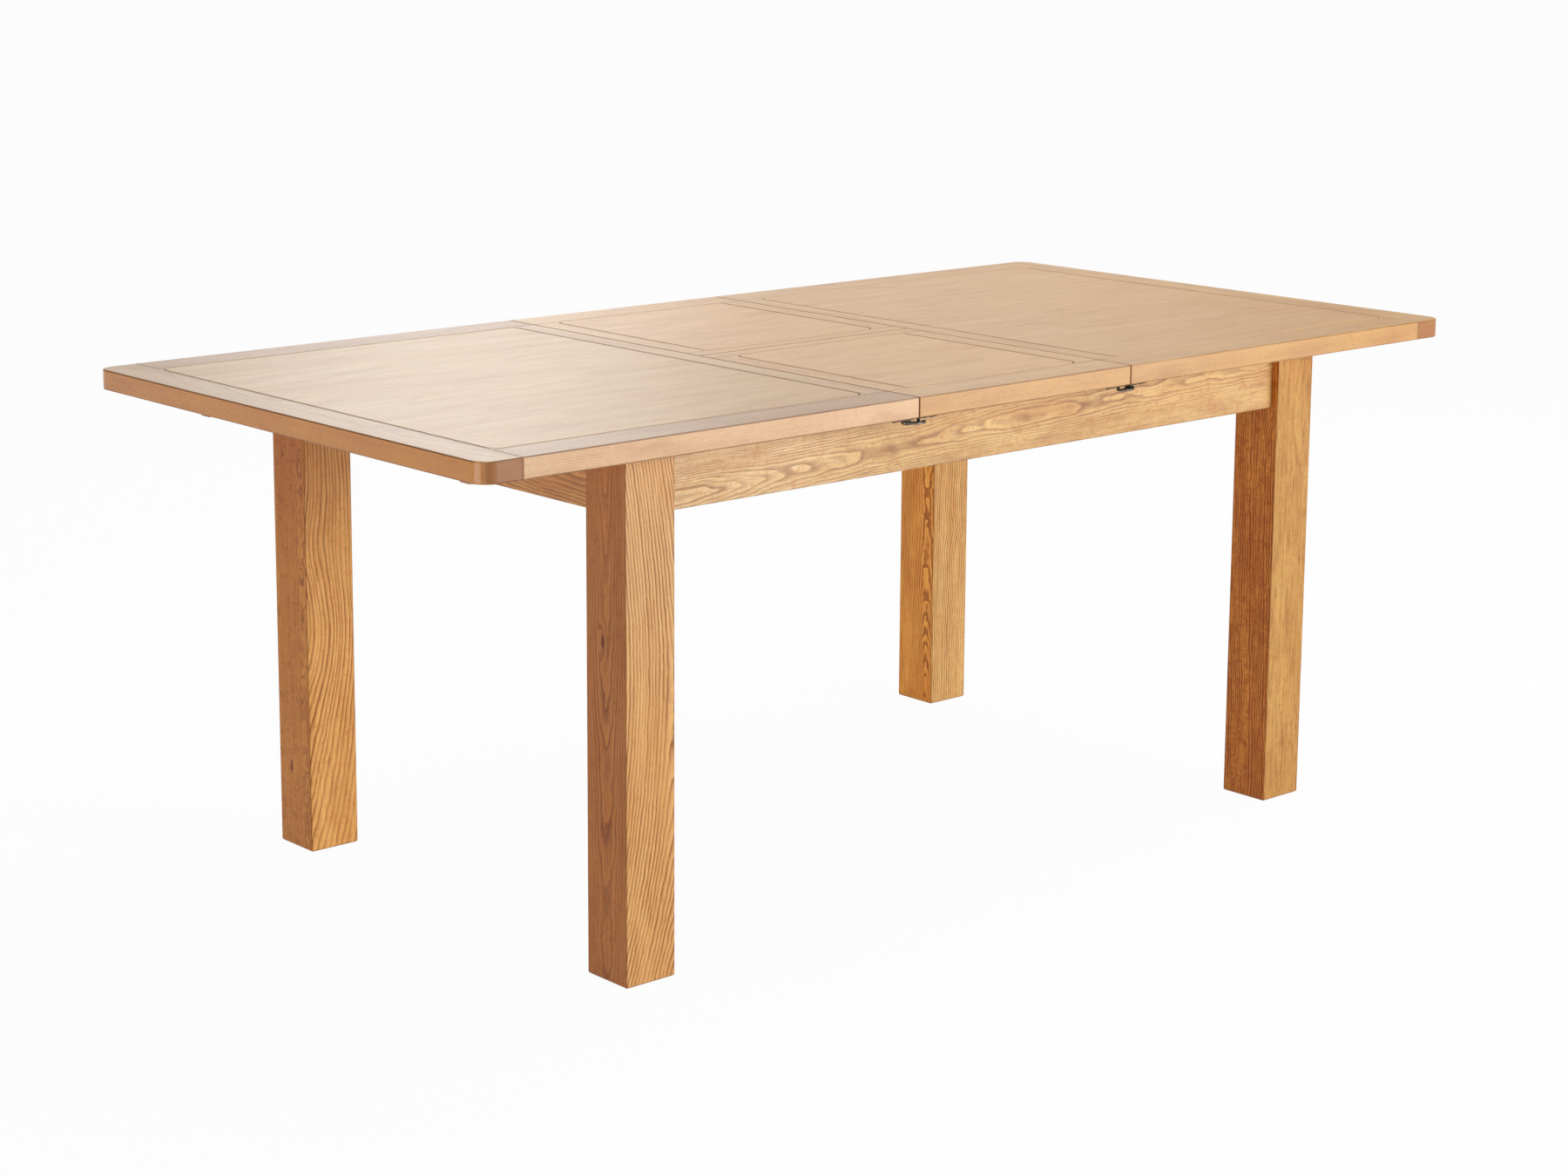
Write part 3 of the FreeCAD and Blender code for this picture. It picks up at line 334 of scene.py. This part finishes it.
def colourOak(finish, board, figure, sideways):
    # from pale to gold, then rust, the rings' lines, pores, fibres, rays and curls
    fibres, clouds, curls = figure["fibres"], figure["clouds"], figure["curls"]
    drift, rust, pores = marks["drift"], marks["rust"], marks["pores"]
    darkFibres, paleFibres, rays = marks["darkFibres"], marks["paleFibres"], marks["rays"]
    golden = ((clouds[0] - 0.5) * (drift["clouds"] * board["cloud"])
              + (figure["streaks"] - 0.5) * board["streak"] + drift["level"])
    colour = finish.mix(golden.least(1).most(0), oak["pale"], oak["gold"])
    colour = finish.mix(clouds[2].rise(*rust["shows"]) * rust["amount"], colour, oak["rust"])
    colour = finish.mix(figure["line"], colour, oak["line"])
    openPores = figure["pores"] * (figure["band"] * pores["inLine"] + pores["between"])
    colour = finish.mix(openPores.least(pores["most"]), colour, oak["deep"])
    dark = (fibres - darkFibres["over"]) * (darkFibres["amount"] * board["fine"])
    colour = finish.mix(dark.least(darkFibres["most"]).most(0), colour, oak["line"])
    pale = (paleFibres["under"] - fibres) * (paleFibres["amount"] * board["fine"])
    pale = pale.least(paleFibres["most"]).most(0) + figure["rays"] * rays["amount"]
    colour = finish.mix(pale, colour, oak["pale"])
    colour = finish.mix(curls.rise(*marks["curls"]["shows"]) * board["mottle"], colour, oak["rust"])
    if board["swirl"]:
        swirls = curls.rise(*marks["swirls"]["shows"])
        colour = finish.mix(sideways * swirls * board["swirl"], colour, oak["line"])
    return colour


def edgeGap(board, half, place, axes):
    # how far the nearest edge between two faces is, in mm
    gaps = [half[axis] * mm - abs(coordinate) for axis, coordinate in zip(axes, place)]
    return gaps[0].least(gaps[1]).most(gaps[0].most(gaps[1]).least(gaps[2]))


def boardOak(name, along, wide, **changes):
    # along and wide are the axes of the board's length and width: 0, 1 or 2
    board = {**plainBoard, **changes}
    finish = Finish("oak_" + name)
    low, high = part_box(name)
    middle, half = (low + high) / 2, (high - low) / 2
    axes = (along, wide, 3 - along - wide)
    spot = finish.coordinates()
    facing = finish.split(finish.node("ShaderNodeTexCoord", out="Normal"))
    sideways = abs(facing[wide]).above(sideFace)
    plain = [(spot[axis] - middle[axis]) * mm for axis in axes]
    u, v, w = plain
    seed = board["seed"]
    if board["stave"]:
        # each strip of a panel is cut from elsewhere in the log
        strip = (v / board["stave"] + seed).whole()
        luck = finish.chance(strip + seed * slides["strips"])
        v = v - (strip - seed + 0.5) * board["stave"] + (luck - 0.5) * marks["staves"]["shift"]
        u = u + luck * marks["staves"]["slide"]
    figure = figureOak(finish, board, (u, v, w), sideways)
    colour = colourOak(finish, board, figure, sideways)
    if board["stave"]:
        golden = finish.chance(strip + seed) * marks["staves"]["amount"]
        colour = finish.mix(golden, colour, oak["gold"])
    if board["knots"]:
        colour = finish.mix(figure["knots"].least(1) * knotShape["amount"], colour, oak["knot"])
    colour = finish.mix(1.0, colour, (*board["tone"], 1.0), "MULTIPLY")
    # painted light along the length: shade under the top on the back left leg, a white sheen on the front
    # left leg and the front apron
    if board["paintedLightFade"]:
        start, end, faded = board["paintedLightFade"]
        colour = finish.mix(plain[0].rise(start, end), colour, (*faded, 1.0), "MULTIPLY")
    # those faces take their own tone, partly the wood's and partly painted light: darker, redder painted
    # shade, and a paler painted sheen on the left border
    colour = finish.mix(sideways, colour, (*board["sideToneAndShade"], 1.0), "MULTIPLY")

    # end grain is darker; the eased edges are darker for wear and as painted shade and a painted dark
    # reflection, and the routed line holds painted shade
    endGrain = abs(facing[along]).rise(*marks["endGrain"]["shows"])
    colour = finish.mix(endGrain * marks["endGrain"]["amount"], colour, oak["end"])
    cloud = figure["clouds"][0]
    rubbedAndShaded = edgeGap(board, half, plain, axes).rise(*edgeWearAndShade["edge"])
    rubbedAndShaded = rubbedAndShaded * (cloud * edgeWearAndShade["clouds"] + edgeWearAndShade["plain"]).least(1.0) * board["wearAndShade"]
    colour = finish.mix(rubbedAndShaded, colour, oak["arrisWearAndShade"])
    # painted shade down in the routed line's hollow
    if board["grooved"]:
        depth = half[axes[2]] * mm - plain[2]
        shadedHollow = depth.rise(*routed["starts"]) * depth.rise(*routed["ends"])
        colour = finish.mix(shadedHollow * board["grooved"], colour, oak["groove"])

    fibres, pores, line = figure["fibres"], figure["pores"], figure["line"]
    height = (1 - pores * touch["poreDepth"]) - line * touch["lineDepth"] + fibres * touch["fibreHeight"]
    relief = {"Strength": board["relief"], "Distance": touch["depth"], "Height": height}
    gloss = (board["gloss"] - touch["glossBase"]) + fibres * touch["glossFibre"] + pores * touch["glossPore"]
    gloss = gloss + (cloud - 0.5) * touch["glossCloud"] + rubbedAndShaded * touch["glossWorn"]
    shader = finish.node("ShaderNodeBsdfPrincipled", values={
        "Base Color": colour,
        "Roughness": gloss,
        "Specular IOR Level": board["shine"],
        "Normal": finish.node("ShaderNodeBump", values=relief),
        "Coat Weight": board["coat"] * (1 - rubbedAndShaded) * (1 - endGrain * marks["endGrain"]["coat"]),
        "Coat Roughness": board["sheen"],
        "Coat IOR": touch["lacquer"],
    })
    dress(name, finish.surface(shader))


# legs: the grain stands upright, and each has its own figure; their side tones are partly their own and
# partly painted shade, the back left leg's fade paints shade under the top and the front left leg's a white
# sheen towards the top
legFinish = {"wave": 4, "long": 160, "cloud": 0.5, "mottle": 0.4, "gloss": 0.52, "coat": 0.15,
             "relief": 0.25, "wearAndShade": 0.35, "shine": 0.25}
legs = {
    "leg_back_left": {
        "heart": (-150, -42), "lean": (0.063, 0.0), "bow": (-0.000167, 0.0), "fan": 0.0009,
        "ring": 7.6, "ripple": 2.2, "short": 40, "seed": 7.9,
        "lines": 1.35, "edge": 2.6, "quiet": 0.6, "fine": 0.9, "swirl": 0.2,
        "tone": (1.17, 1.13, 1.04), "sideToneAndShade": (0.75, 0.535, 0.32), "paintedLightFade": (60, 340, (0.77, 0.66, 0.68)),
        "swells": ((-40, -20, -42, 100, 60, -22), (115, -30, -42, 50, 35, 10)),
        "knots": ((-243, -42, 10, 4.0), (250, -42, 16, 2.2)),
        "turned": {"heart": (-70, -30), "lean": (0.0, 0.0), "bow": (0.0, 0.0), "fan": 0.0, "ring": 2.6,
                   "ripple": 3.4, "short": 20, "swells": ()},
    },
    "leg_front_left": {
        "heart": (-200, -20), "lean": (0.041, 0.0), "bow": (-0.000358, 0.0), "fan": 0.0003,
        "ring": 6.0, "ripple": 2.2, "short": 34, "seed": 1.7,
        "lines": 1.15, "edge": 2.2, "quiet": 0.75, "fine": 0.7, "swirl": 0.1, "mottle": 0.2,
        "tone": (1.06, 1.01, 1.08), "sideToneAndShade": (0.64, 0.43, 0.275), "paintedLightFade": (-100, 250, (1.0, 1.08, 1.3)),
        "swells": ((-30, 50, -42, 170, 16, -14),),
        "knots": ((108, -42, 7, 4.0),),
        "turned": {"heart": (-72, 0), "bow": (0.0, 0.0), "fan": 0.0, "ring": 3.6,
                   "swells": ((-330, -42, 0, 60, 30, -5),)},
    },
    "leg_back_right": {
        "heart": (-150, -42), "lean": (0.02, 0.0), "ring": 4.2, "ripple": 2.0, "short": 26, "seed": 11.3,
        "lines": 1.5, "edge": 1.5, "quiet": 0.85,
        "tone": (1.12, 1.29, 1.46), "sideToneAndShade": (1.42, 1.06, 0.54),
        "swells": ((-50, 10, -42, 30, 30, -8),),
        "turned": {"heart": (-74.5, -27), "lean": (-0.0071, 0.0), "bow": (0.0001645, 0.0), "ring": 3.0,
                   "ripple": 2.4, "short": 22, "wave": 2.5, "swells": ()},
    },
    "leg_front_right": {
        "heart": (-150, -20), "lean": (0.0, 0.01), "ring": 3.2, "ripple": 3.0, "short": 20, "seed": 4.2,
        "wave": 6, "long": 200, "lines": 0.6, "quiet": 2.2, "fine": 2.2, "swirl": 0.4, "cloud": 1.0,
        "tone": (0.775, 0.72, 0.52), "sideToneAndShade": (1.34, 0.98, 0.63),
        "turned": {"heart": (-60, -150), "lean": (0.0, 0.03), "ring": 5.0},
    },
}
for name, leg in legs.items():
    boardOak(name, 2, 0, **{**legFinish, **leg})

# aprons stand on edge: the long ones with flat figure, the end ones plainer; the front one turns paler and
# bluer towards its left end, a painted white sheen
apronFinish = {"wave": 3, "gloss": 0.5, "coat": 0.4, "wearAndShade": 0.3, "shine": 0.4}
longAprons = {
    "apron_front": {
        "heart": (2, 45), "lean": (0.046, 0.0), "ring": 1.75, "seed": 2.3, "mottle": 0.5,
        "tone": (0.93, 1.02, 1.1), "paintedLightFade": (-180, -420, (1.14, 1.24, 1.65)),
        "swells": ((-620, -28, -11, 170, 45, -8), (60, 6, -11, 190, 30, -2), (600, 28, -11, 200, 45, -6)),
    },
    "apron_back": {
        "heart": (-4, -48), "lean": (-0.04, 0.0), "ring": 1.9, "seed": 5.9, "mottle": 0.45,
        "tone": (0.98, 1.02, 1.08),
        "swells": ((-380, -18, 11, 200, 42, -7), (260, 10, 11, 160, 42, -5)),
    },
}
endAprons = {
    "apron_left": {"heart": (30, 90), "lean": (0.03, 0.02), "ring": 3.2, "seed": 8.8, "lines": 0.9,
                   "tone": (0.95, 0.82, 0.62)},
    "apron_right": {"heart": (-30, -100), "lean": (0.02, 0.03), "ring": 3.4, "seed": 12.1},
}
for name, apron in longAprons.items():
    boardOak(name, 0, 2, ripple=1.6, short=60, lines=0.9, edge=2.0, fine=1.3, **apronFinish, **apron)
for name, apron in endAprons.items():
    boardOak(name, 1, 2, **{**apronFinish, "wave": 6, **apron})

# tops and leaf: panels of glued strips, borders of single boards
topFinish = {"relief": 0.06, "gloss": 0.38, "coat": 0.6, "sheen": 0.22, "fine": 0.35, "streak": 0.65,
             "cloud": 0.6, "mottle": 0.14}
panelFinish = {"heart": (10, -90), "lean": (0.0, 0.02), "ring": 4.2, "wave": 8, "long": 420,
               "lines": 0.16, "stave": 96.0, "wearAndShade": 0.2}
panels = {
    "left_panel": {"seed": 3.1, "grooved": 1.0, "tone": (0.96, 0.97, 0.92)},
    "right_panel": {"seed": 6.7, "grooved": 0.4, "tone": (1.02, 0.99, 0.9)},
    "leaf_back_panel": {"seed": 9.2, "grooved": 0.5, "tone": (1.08, 1.02, 0.85)},
    "leaf_front_panel": {"seed": 13.4, "grooved": 0.7, "tone": (1.1, 1.06, 0.9)},
}
for name, panel in panels.items():
    boardOak(name, 0, 1, **topFinish, **panelFinish, **panel)

# the left border's front and back edges take a paler, bluer tone, a painted white sheen
borderFinish = {
    "left": {"tone": (0.74, 0.66, 0.56), "sideToneAndShade": (1.28, 1.52, 2.6), "wearAndShade": 0.7},
    "leaf": {"tone": (1.06, 1.02, 0.84), "sideToneAndShade": (0.77, 0.73, 0.6), "wearAndShade": 0.6},
    "right": {"tone": (1.02, 0.98, 0.82), "sideToneAndShade": (0.76, 0.71, 0.6), "wearAndShade": 0.4},
}
railFinish = {"heart": (40, -100), "lean": (0.01, 0.01), "ring": 2.8, "wave": 6, "long": 380, "lines": 0.3}
railSeeds = {
    "left_front_rail": 2.9,
    "left_back_rail": 4.4,
    "right_front_rail": 7.3,
    "right_back_rail": 8.6,
    "leaf_front_rail": 10.5,
    "leaf_back_rail": 12.8,
    "leaf_front_seam_rail": 14.9,
    "leaf_back_seam_rail": 16.2,
}
for name, seed in railSeeds.items():
    border = borderFinish[name.split("_")[0]]
    boardOak(name, 0, 1, seed=seed, **{**topFinish, **railFinish, **border})

# the cross boards' faces across their width are drawn darker and redder, painted shade, the left end board's
# outer edge most of all
crossFinish = {"heart": (30, -110), "lean": (0.01, 0.01), "ring": 2.7, "wave": 6, "long": 360,
               "lines": 0.3, "sideToneAndShade": (0.95, 0.8, 0.62)}
crossBoards = {
    "left_end_board": {"seed": 1.3, "tone": (0.9, 0.92, 1.0), "sideToneAndShade": (0.96, 0.61, 0.1)},
    "right_end_board": {"seed": 5.2},
    "left_lipping": {"seed": 3.8, "tone": (0.93, 0.91, 0.85)},
    "right_lipping": {"seed": 9.9},
    "leaf_front_left_lipping": {"seed": 6.1},
    "leaf_back_left_lipping": {"seed": 11.6},
    "leaf_front_right_lipping": {"seed": 15.3},
    "leaf_back_right_lipping": {"seed": 17.7},
}
for name, cross in crossBoards.items():
    border = borderFinish[name.split("_")[0]]
    boardOak(name, 1, 0, **{**topFinish, **border, **crossFinish, **cross})

# what stands out of sight under the top, and the axes of each one's length and width
hiddenBoards = {
    "cornerBlocks": {
        "names": ("corner_block_back_right", "corner_block_back_left", "corner_block_front_right",
                  "corner_block_front_left"),
        "axes": (0, 1), "seed": 20.5,
        "finish": {"heart": (60, -80), "ring": 3.4, "tone": (0.98, 0.94, 0.88)},
    },
    "guideRails": {
        "names": ("guide_rail_back", "guide_rail_front"),
        "axes": (0, 2), "seed": 26.3,
        "finish": {"heart": (50, 90), "ring": 3.0, "wave": 8},
    },
    "leafBearers": {
        "names": ("leaf_bearer_left", "leaf_bearer_right"),
        "axes": (1, 0), "seed": 30.1,
        "finish": {"heart": (70, 60), "ring": 3.0, "wave": 8},
    },
    "runners": {
        "names": ("left_back_runner", "left_front_runner", "right_back_runner", "right_front_runner"),
        "axes": (0, 2), "seed": 34.7,
        "finish": {"heart": (80, 70), "ring": 2.4, "wave": 6, "lines": 0.3, "tone": (1.12, 1.16, 1.18)},
    },
}
for hidden in hiddenBoards.values():
    for index, name in enumerate(hidden["names"]):
        boardOak(name, *hidden["axes"], seed=hidden["seed"] + index, **hidden["finish"])
print("oak on", sum(1 for name in nodes if nodes[name].material_slots and
                    nodes[name].material_slots[0].material.name.startswith("oak_")), "boards")


# metals: dull says how dark their worn patches are, and pull how far marks are drawn out along x
metals = {
    # the lever and plate steels are drawn dark as painted shade, for the shadow they hang in under the top's
    # edge
    "lever_steel": {"colour": tint(112, 104, 96), "dull": tint(56, 50, 46), "rough": 0.26, "pull": 90},
    "plate_steel": {"colour": tint(74, 68, 62), "dull": tint(44, 38, 34), "rough": 0.42, "pull": 40},
    "screw_steel": {"colour": tint(84, 74, 64), "dull": tint(48, 40, 34), "rough": 0.4, "pull": 20},
    "zinc_steel": {"colour": tint(176, 178, 182), "dull": tint(118, 120, 124), "rough": 0.34, "pull": 20},
    "brass": {"colour": tint(214, 172, 92), "dull": tint(150, 110, 52), "rough": 0.3, "pull": 30},
}

# the marks on every metal: how many to a metre, and how much they tell in the colour and the gloss
metalMarks = {
    "drawn": {"count": 160, "detail": 2.0, "gloss": 0.12},
    "spots": {"count": 420, "detail": 3.0, "roughness": 0.6, "colour": 0.4},
    "dull": {"count": 90, "detail": 2.0, "shows": (0.38, 0.72), "colour": 0.7, "gloss": 0.18},
    "relief": 0.15,
    "depth": 0.0002,    # in metres
}


def metalNoise(finish, mark, pull=1):
    # a noise of one kind of mark; pull squeezes it across, so that it runs along x
    x, y, z = [part * mark["count"] for part in finish.coordinates()]
    if pull != 1:
        y, z = y * pull, z * pull
    return finish.noise(finish.vector(x, y, z), mark["detail"], mark.get("roughness", 0.5))


def metal(name):
    kind = metals[name]
    finish = Finish(name)
    drawnMark, spotMark, dullMark = metalMarks["drawn"], metalMarks["spots"], metalMarks["dull"]
    drawn = metalNoise(finish, drawnMark, kind["pull"])
    spots = metalNoise(finish, spotMark)
    dull = metalNoise(finish, dullMark).rise(*dullMark["shows"])
    darker = dull * dullMark["colour"] + (spots - 0.5) * spotMark["colour"]
    relief = {"Strength": metalMarks["relief"], "Distance": metalMarks["depth"],
              "Height": drawn * 0.5 + spots * 0.5}
    shader = finish.node("ShaderNodeBsdfPrincipled", values={
        "Base Color": finish.mix(darker, kind["colour"], kind["dull"]),
        "Metallic": 1.0,
        "Roughness": kind["rough"] + dull * dullMark["gloss"] + (drawn - 0.5) * drawnMark["gloss"],
        "Normal": finish.node("ShaderNodeBump", values=relief),
    })
    return finish.surface(shader)


metalOn = {
    "lever_steel": ["lock_lever_back_right", "lock_lever_back_left", "lock_lever_front_right",
                    "lock_lever_front_left"],
    "plate_steel": ["left_lock_plates", "right_lock_plates", "leaf_back_keepers", "leaf_front_keepers"],
    "screw_steel": ["left_lock_screws", "right_lock_screws", "leaf_back_keeper_screws",
                    "leaf_front_keeper_screws"],
    "zinc_steel": ["hanger_bolts", "bolt_nuts", "frame_screws", "left_runner_screws", "right_runner_screws"],
    "brass": ["leaf_back_hinge_barrels", "leaf_front_hinge_barrels", "hinge_links"],
}
for slotName, members in metalOn.items():
    material = metal(slotName)
    for name in members:
        dress(name, material)
print("metal on", sum(map(len, metalOn.values())), "nodes")


floorLook = {
    "reach": 60.0,     # how far it spreads each way, in metres
    "colour": tint(246, 245, 243),
    "rough": 0.8,
    "patchy": 0.1,     # how much that differs from place to place
    "patches": 0.8,    # how many of those places to a metre
    "shine": 0.1,
    "glow": 0.96,      # how much of it is plain white; the rest takes the shadow
}


def makeFloor():
    reach = floorLook["reach"]
    mesh = bpy.data.meshes.new("floor")
    corners = [(-reach, -reach, 0), (reach, -reach, 0), (reach, reach, 0), (-reach, reach, 0)]
    mesh.from_pydata(corners, [], [(0, 1, 2, 3)])
    floor = bpy.data.objects.new("floor", mesh)
    bpy.context.scene.collection.objects.link(floor)
    finish = Finish("floor_white")
    x, y = finish.coordinates()[:2]
    patches = finish.noise(finish.vector(x * floorLook["patches"], y * floorLook["patches"], 0.0))
    camera, glossy, clear = [finish.node("ShaderNodeLightPath", out=ray) for ray in
                             ("Is Camera Ray", "Is Glossy Ray", "Is Transmission Ray")]
    seen = camera.most(glossy).most(clear)
    matt = finish.node("ShaderNodeBsdfPrincipled", values={
        "Base Color": floorLook["colour"],
        "Roughness": floorLook["rough"] + patches * floorLook["patchy"],
        "Specular IOR Level": floorLook["shine"],
    })
    white = finish.node("ShaderNodeEmission", values={"Color": (1, 1, 1, 1), "Strength": 1.0})
    shader = finish.node("ShaderNodeMixShader", values={0: seen * floorLook["glow"], 1: matt, 2: white})
    mesh.materials.append(finish.surface(shader))


# the sky is even, but for a bright window behind the table and the wall round it: where each is, how much
# light it adds, and the cosines of the angles from there at which it is gone and full
sky = {
    "light": 0.36,
    "window": {"toward": (0.562, 0.794, 0.233), "level": 1.6, "spread": (0.9936, 0.9997)},
    "wall": {"toward": (0.584, 0.789, 0.191), "level": 0.35, "spread": (0.9563, 0.9925)},
}


def makeSky():
    world = bpy.data.worlds.new("studio")
    world.use_nodes = True
    finish = Finish(world)
    path = finish.node("ShaderNodeLightPath", out="Is Camera Ray")
    ray = finish.split(finish.node("ShaderNodeTexCoord", out="Generated"))
    light = sky["light"]
    for bright in (sky["window"], sky["wall"]):
        toward = Vector(bright["toward"]).normalized()
        facing = ray[0] * toward.x + ray[1] * toward.y + ray[2] * toward.z
        light = facing.rise(*bright["spread"]) * bright["level"] + light
    soft = finish.node("ShaderNodeBackground", values={"Color": (1, 1, 1, 1), "Strength": light})
    white = finish.node("ShaderNodeBackground", values={"Color": (1, 1, 1, 1), "Strength": 1.0})
    finish.surface(finish.node("ShaderNodeMixShader", values={0: path, 1: soft, 2: white}))
    bpy.context.scene.world = world


# soft lamps: where each stands and what it is aimed at, its size in metres and its power in watts
lamps = {
    "key": {"place": (2.6, -4.4, 1.35), "aim": (0.1, 0.0, 0.6), "size": (3.2, 2.6), "power": 165},
    "fill": {"place": (-4.4, -0.6, 0.5), "aim": (-0.2, 0.0, 0.35), "size": (2.5, 0.9), "power": 32},
    "over": {"place": (1.6, 0.2, 3.4), "aim": (0.5, 0.0, 0.7), "size": (3.0, 3.0), "power": 62},
}


def makeLamp(name, lamp):
    light = bpy.data.lights.new(name, "AREA")
    light.shape = "RECTANGLE"
    light.size, light.size_y = lamp["size"]
    light.energy = lamp["power"]
    made = bpy.data.objects.new(name, light)
    made.location = lamp["place"]
    toward = Vector(lamp["aim"]) - Vector(lamp["place"])
    made.rotation_euler = toward.to_track_quat("-Z", "Y").to_euler()
    bpy.context.scene.collection.objects.link(made)


view = {
    "place": (-3.222, -3.555, 1.510),
    "yaw": 40.47,             # degrees from +Y towards +X
    "pitch": 10.43,           # degrees below level
    "roll": -0.13,
    "picture": (1800, 1350),  # in pixels
    "focus": 3560,            # how far the lens is from the picture, in its pixels
    "middle": (820, 495),     # the pixel that the lens faces squarely, from the top left
    "sensor": 36,             # its width in mm
}


def makeCamera():
    across, down = view["picture"]
    camera = bpy.data.cameras.new("camera")
    camera.sensor_width = view["sensor"]
    camera.lens = view["focus"] / across * camera.sensor_width
    camera.shift_x = (across / 2 - view["middle"][0]) / across
    camera.shift_y = (view["middle"][1] - down / 2) / across
    made = bpy.data.objects.new("camera", camera)
    turn = (Matrix.Rotation(-math.radians(view["yaw"]), 4, "Z")
            @ Matrix.Rotation(math.radians(90 - view["pitch"]), 4, "X")
            @ Matrix.Rotation(-math.radians(view["roll"]), 4, "Z"))
    made.matrix_world = Matrix.Translation(view["place"]) @ turn
    bpy.context.scene.collection.objects.link(made)
    bpy.context.scene.camera = made


makeFloor()
makeSky()
for lampName, lamp in lamps.items():
    makeLamp(lampName, lamp)
makeCamera()
bpy.context.scene.view_settings.view_transform = "Standard"
print("floor, light and camera set")
